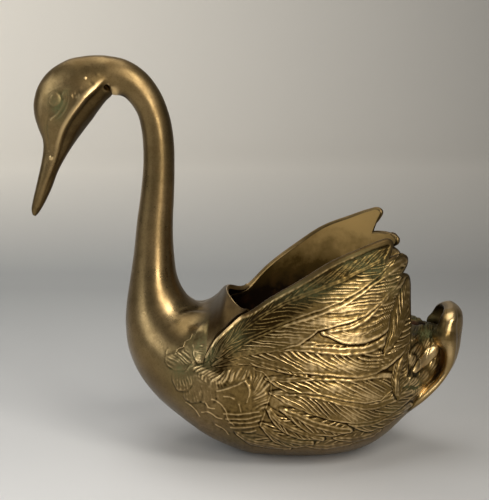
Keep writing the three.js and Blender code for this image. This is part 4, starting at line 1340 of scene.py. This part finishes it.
def head_relief(skin):
    """Height of eye, lids, cheek and bill line over the head."""
    across, down = (a.ravel() for a in on_drawing(skin))
    height = throat(skin).ravel()
    # the cheek's ridge runs on along the bill; below it the throat side is hollow
    near, off, share = by_cheek(across, down)
    tall = np.interp(share, [0, 0.08, 0.2, 0.5, 0.75, 1], [0, 0.7, 1.3, 0.75, 0.35, 0.12])
    reach = np.interp(share, [0, 0.2, 0.5, 0.75, 1], [8, 13, 11, 8, 5])
    below = 1 - 2 * smoothstep(-0.1, 0.45, off / reach) + smoothstep(0.45, 1.2, off / reach)
    height[near] += tall * np.where(off < 0, bell(off, 6), below)
    for form, *values in HEAD_FORMS:
        form(height, across, down, *values)
    return height.reshape(skin.shape[:-1])


def head_wear_and_painted_light(skin, height):
    """Painted highlights along the cheek's ridge, on the forehead, down the front and on the eye's
    edge, lighter bosses, darker round the eye, and painted shade below the ridge, on the crown and
    in the vent.
    """
    across, down = (a.ravel() for a in on_drawing(skin))
    wear_and_painted_light = (0.5 + (height - blurred(height, 5)) * 0.5).ravel()
    near, off, share = by_cheek(across, down)
    # a painted highlight along the cheek's ridge, and painted shade on the hollow throat side of
    # it
    bright = np.interp(share, [0, 0.1, 0.3, 0.6, 1], [0, 0.32, 0.32, 0.1, 0.04])
    width = np.interp(share, [0, 0.2, 0.5, 1], [2.4, 3, 2, 1.4])
    wear_and_painted_light[near] += bright * bell(off + 1.5, width)
    wear_and_painted_light[near] -= 0.2 * smoothstep(0.5, 2.2, off) * smoothstep(0, 0.06, share)
    for middle, radius in HEAD_BRIGHT:
        wear_and_painted_light += 0.3 * spot(across, down, middle, (radius, radius))
    off_ball = np.hypot(*turned(across, down, *EYE_BALL, 0))
    ball = np.exp(-(off_ball**6))
    # a painted highlight on the eye's left edge
    arc = bell(off_ball - 0.95, 0.13) * smoothstep(55, 51, across)
    round_eye = 0.16 * spot(across, down, *EYE_HOLLOW) * (1 - ball)
    wear_and_painted_light = mix(wear_and_painted_light - round_eye, 0.52, ball) + 0.12 * arc
    # painted highlights on the forehead and down the front of the head
    bump(wear_and_painted_light, across, down, (47, 80), (13, 4), -52, 0.12)
    bump(wear_and_painted_light, across, down, (40, 108), (3, 15), 0, 0.14)
    # painted shade on the crown
    crown = smoothstep(86, 64, down) * smoothstep(62, 80, across) * smoothstep(106, 92, across)
    wear_and_painted_light = (wear_and_painted_light - 0.1 * crown).reshape(height.shape)
    # painted shade in the vent hole
    return np.clip(wear_and_painted_light - 0.5 * vent(skin, *VENT_SHADE), 0, 1)


def full_rings(skin, places, count, relief=None):
    """Rings right round a skin, with the given number of points on each side, and their relief."""
    turn = np.concatenate([np.linspace(-1, 1, count), np.linspace(1, -1, count)[1:-1]])
    side = np.concatenate([np.ones(count), -np.ones(count - 2)])
    place, turn = np.meshgrid(places, turn, indexing="ij")
    points, out = skin.point(place, turn), skin.normal(place, turn)
    height = relief(points) if relief else np.zeros(points.shape[:2])
    points = points + out * height[..., None]
    points[..., 1] *= side
    return points, height


def make_head():
    """A solid head; the last two points of its mesh are the middles of its two ends."""
    places = np.concatenate([np.linspace(0, 120, 230)[:-1], np.linspace(120, BILL_TIP, 26)])
    rings, height = full_rings(head_skin, places, HEAD_ROUND, head_relief)
    skin, _ = full_rings(head_skin, places, HEAD_ROUND)
    wear_and_painted_light = head_wear_and_painted_light(skin, height)
    finished(make_piece("head_cast", *capped(rings)), "head", SMOOTH,
             np.append(wear_and_painted_light, (0.5, 0.5)), green=np.append(green_of(skin, wear_and_painted_light), (0, 0)))


# Tail

FAN_ROWS = 120
FAN_ACROSS = 61
FAN_LIP = 9  # points round a lip
PLUG_ROUND = 90
TAIL_MESH = 0.00048  # width of the even mesh that joins fan and rump, in metres


def fan_points():
    """The cupped fan between two thick lips."""
    table = Curve(np.arange(len(FAN_SECTIONS)), FAN_SECTIONS)
    rows = table(np.linspace(0, len(FAN_SECTIONS) - 1, FAN_ROWS))
    x, z, width, middle, reach, lip, degrees = (rows[:, k:k + 1] for k in range(7))
    angle = np.radians(degrees)
    share = np.linspace(-1, 1, FAN_ACROSS)[None, :]
    cup = np.abs(share) ** FAN_CUP

    def sheet(ahead, y):
        """Points so far ahead of the fan's back."""
        return np.stack([x - np.cos(angle) * ahead, y + 0 * ahead, z + np.sin(angle) * ahead], -1)

    outer = sheet(reach * cup, share * width)
    inner = sheet(reach * cup + mix(middle, lip, cup), share * width)
    turns = (np.arange(FAN_LIP) + 0.5) / FAN_LIP * math.pi
    bulge = lip / 2 * np.sin(turns)[None, :]
    right = sheet(reach + lip * (1 - np.cos(turns)) / 2, width + bulge)
    left = sheet(reach + lip * (1 + np.cos(turns)) / 2, -width - bulge)
    return np.concatenate([outer, right, inner[:, ::-1], left], 1)


def rump_spread(place):
    """How much wider than the hull's own lines the rump is where it runs into the fan."""
    return 1 + 1.1 * np.clip((place - TAIL_JOINT) / (RUMP_END - TAIL_JOINT), 0, 1) ** 3


def plug_points():
    """The rump's end: a roof over its edge, open above the slot, and a root inside the fan."""
    places = np.concatenate([np.linspace(ROOF_START, TAIL_JOINT - 0.1, 14),
                             np.linspace(TAIL_JOINT, RUMP_END, 40)])
    rings, _ = full_rings(hull, places, PLUG_ROUND)
    # before the joint there is only the roof, just inside the bowl's walls
    roof_only = (places < TAIL_JOINT)[:, None]
    rings[..., 1] *= np.where(roof_only, 0.965, rump_spread(places)[:, None])
    x, y = rings[..., 0], rings[..., 1]
    a, b, c = SLOT_RADII
    q = 1 - ((x - MOUTH_TAIL[0]) / a) ** 2 - (y / b) ** 2
    hollow = MOUTH_TAIL[1] - c * np.sqrt(np.maximum(q, 0))
    half = np.abs(y).max(1)[:, None]
    roof = RUMP_RIM - 0.4 + ROOF_RISE * np.maximum(1 - (y / half) ** 2, 0)
    top = np.where(q > 0, np.minimum(hollow, roof), roof)
    rings[..., 2] = np.minimum(rings[..., 2], top)
    under = np.minimum(RUMP_RIM - 4.5, top - 2.5)
    rings[..., 2] = np.where(roof_only, np.maximum(rings[..., 2], under), rings[..., 2])
    root = []
    x, y, z = rings[-1].T
    for t in np.linspace(0, 1, 9)[1:]:
        low, high = 52 + 12 * t, 88 - 2 * t
        root.append(np.stack([x + 9 * t, y * (1 - 0.3 * t), np.clip(z, low, high)], -1))
    return np.concatenate([rings, root])


def apply_to(piece, kind, **settings):
    """Lays a modifier over the active piece for good."""
    made = piece.modifiers.new("made", kind)
    for key, value in settings.items():
        setattr(made, key, value)
    bpy.ops.object.modifier_apply(modifier="made")


def joined_tail():
    """Fan and rump's end as one casting with softened corners."""
    fan = make_piece("tail_fan_cast", *capped(fan_points()))
    select_only(make_piece("rump_end", *capped(plug_points())), fan)
    bpy.ops.object.join()
    apply_to(fan, "REMESH", mode="VOXEL", voxel_size=TAIL_MESH)
    apply_to(fan, "SMOOTH", factor=0.5, iterations=9)
    return fan


def read_vectors(data, key):
    """A vector of every point of a mesh."""
    values = np.empty(len(data) * 3, np.float32)
    data.foreach_get(key, values)
    return values.reshape(-1, 3)


TAIL_PAINTED_LIGHT = [  # painted highlights and painted shade: middle, radii, turn, strength
    ((452, 317), (3.5, 5), 30, 0.3), ((450, 351), (3, 7), 5, 0.3), ((449, 336), (7, 4), 0, -0.3),
    ((427, 357), (15, 5), -48, 0.45), ((420, 392), (12, 3), -28, 0.3),
]


def make_tail():
    """The rump with the bowl's carving, the plain fan, and the slot between them, painted dark as
    shade.
    """
    tail = joined_tail()
    mesh = tail.data
    points = in_millimetres(read_vectors(mesh.vertices, "co"))
    facing = read_vectors(mesh.vertex_normals, "vector")
    x, y, z = points.T
    # what belongs to the rump: its sides, and the roof outside the slot
    place, turn = hull.find(points[:, [0, 2]], 100, RUMP_END)
    side = np.abs(hull.point(place, turn)[:, 1]) * rump_spread(place)
    rump = smoothstep(2.6, 1, np.abs(np.abs(y) - side))
    rump = rump * smoothstep(143, 138, x) * smoothstep(0.15, 0.5, np.abs(facing[:, 1]))
    on_roof = smoothstep(0.4, 0.8, facing[:, 2]) * smoothstep(136, 131, x)
    on_roof = on_roof * smoothstep(94, 93, z) * smoothstep(87, 88, z)
    slot = np.hypot((x - MOUTH_TAIL[0]) / SLOT_RADII[0], y / SLOT_RADII[1])
    rump = np.maximum(rump, on_roof * smoothstep(1, 1.2, slot))
    height = np.minimum(carving(points), TAIL_RELIEF)
    points = kept_inside(points + facing * (height * rump)[:, None])
    mesh.vertices.foreach_set("co", in_metres(points).astype(np.float32).ravel())
    # painted highlights on the fan's edge in places, painted shade over its foot, and the fan's
    # plain tone painted lighter
    across, down = on_drawing(points)
    lit = np.zeros(len(points))
    for lump in TAIL_PAINTED_LIGHT:
        bump(lit, across, down, *lump)
    lit -= 0.42 * smoothstep(448, 441, across + 0.1 * (down - 320)) * smoothstep(344, 332, down)
    wear_and_painted_light = np.clip(mix(0.63, 0.3 + 0.5 * height, rump) + lit + 0.06 * on_roof, 0, 0.85)
    z = points[:, 2]
    # the slot is painted dark as shade, in the colour of the bowl's deep inside
    slot_shade = smoothstep(1.1, 0.95, slot) * smoothstep(100, 96, z) * smoothstep(68, 72, z)
    finished(tail, "tail_fan", SMOOTH, wear_and_painted_light, green_of(points, wear_and_painted_light), slot_shade, mix(0.5, 1, rump))
    select_only(tail)
    bpy.ops.object.shade_smooth()


make_neck()
make_bowl()
make_wings()
make_deck()
make_seam("seam_front", TAIL_JOINT, 320, True)
make_seam("seam_nape", SADDLE, 180, False)
make_head()
make_tail()


# Stage, in metres

PAPER_HALF = 12  # half the paper's width, and how far it reaches to the front
PAPER_BEND = (1.1, 0.6)  # where the paper bends up, and the radius of the bend
PAPER_TOP = 3


def paper():
    """Pale grey paper with painted light falloff: warmer and lighter towards the upper left,
    darkest where it bends up.
    """
    w = Wiring("pale_paper_painted_falloff")
    x, y, _ = w.axes(w.where())
    floor = w.blend(w.spread(y, -0.1, 0.42), (210, 209, 207), (150, 151, 150))
    floor = w.blend(w.times(w.spread(x, -0.1, 0.3), 0.7), floor, (106, 104, 100))
    wall = w.blend(w.spread(x, -0.4, 0.44), (236, 231, 221), (160, 157, 151))
    return w.surface(Base_Color=w.blend(w.spread(y, 0.48, 1.0), floor, wall), Roughness=0.7)


def link(name, data, place=(0, 0, 0)):
    """Puts a new object into the scene."""
    made = bpy.data.objects.new(name, data)
    made.location = place
    bpy.context.collection.objects.link(made)
    return made


def make_stage():
    """A sweep of paper: floor, a wide curve and a wall."""
    start, radius = PAPER_BEND
    side = [(start + radius * math.sin(a), radius - radius * math.cos(a))
            for a in np.linspace(0, QUARTER, 24)]
    side = [(-PAPER_HALF, 0)] + side + [(start + radius, PAPER_TOP)]
    verts = [(x, y, z) for y, z in side for x in (-PAPER_HALF, PAPER_HALF)]
    faces = [(2 * i, 2 * i + 1, 2 * i + 3, 2 * i + 2) for i in range(len(side) - 1)]
    mesh = bpy.data.meshes.new("paper_sweep")
    mesh.from_pydata(verts, [], faces)
    for face in mesh.polygons:
        face.use_smooth = True
    mesh.materials.append(paper())
    link("paper_sweep", mesh)


LAMPS = [  # name, place, what it shines at, width and height, power, colour
    ("window", (0.74, -0.86, 1.16), (0, 0, 0.12), (0.55, 0.7), 11, (1, 0.97, 0.92)),
    ("strip", (0.6, -1.3, 0.5), (0, 0, 0.16), (0.36, 0.8), 10.5, (1, 0.96, 0.9)),
    ("room", (-1.2, -0.5, 0.7), (0, 0, 0.12), (0.8, 0.8), 6, (0.9, 0.95, 1)),
    ("ceiling", (-0.1, 0.2, 1.7), (0, 0, 0.1), (1.2, 1.2), 10, (1, 0.98, 0.95)),
    ("backdrop", (-0.5, 0.7, 1.3), (-0.3, 1.35, 0.1), (0.8, 0.4), 4, (1, 0.98, 0.95)),
]
ROOM_LIGHT = 0.3  # grey light from all round
FILM = 36  # width of the camera's picture, in millimetres


def make_lamps():
    """Soft rectangular lights that the camera doesn't see, and the room's own light."""
    for name, place, aim, size, power, colour in LAMPS:
        light = bpy.data.lights.new(name, "AREA")
        light.shape = "RECTANGLE"
        light.size, light.size_y = size
        light.energy = power
        light.color = colour
        lamp = link(name, light, place)
        way = np.array(aim) - np.array(place)
        lamp.rotation_euler = (
            math.acos(-way[2] / np.linalg.norm(way)), 0, math.atan2(way[1], way[0]) - QUARTER)
        lamp.visible_camera = False
    world = bpy.data.worlds.new("studio")
    bpy.context.scene.world = world
    world.use_nodes = True
    light, strength = world.node_tree.nodes["Background"].inputs[:2]
    light.default_value = (0.5, 0.5, 0.5, 1)
    strength.default_value = ROOM_LIGHT


def make_camera():
    """The eye that the drawing was made for."""
    data = bpy.data.cameras.new("camera")
    data.lens = FILM * LENS / DRAWING[1]
    data.sensor_width = FILM
    camera = link("camera", data, (
        (LOOK_AT[0] - MIDDLE_X) / 1000, -FAR / 1000 * math.cos(TILT),
        (LOOK_AT[1] + FAR * math.sin(TILT)) / 1000))
    camera.rotation_euler = (QUARTER - TILT, 0, 0)
    bpy.context.scene.camera = camera
    bpy.context.scene.view_settings.view_transform = "Standard"


make_stage()
make_lamps()
make_camera()
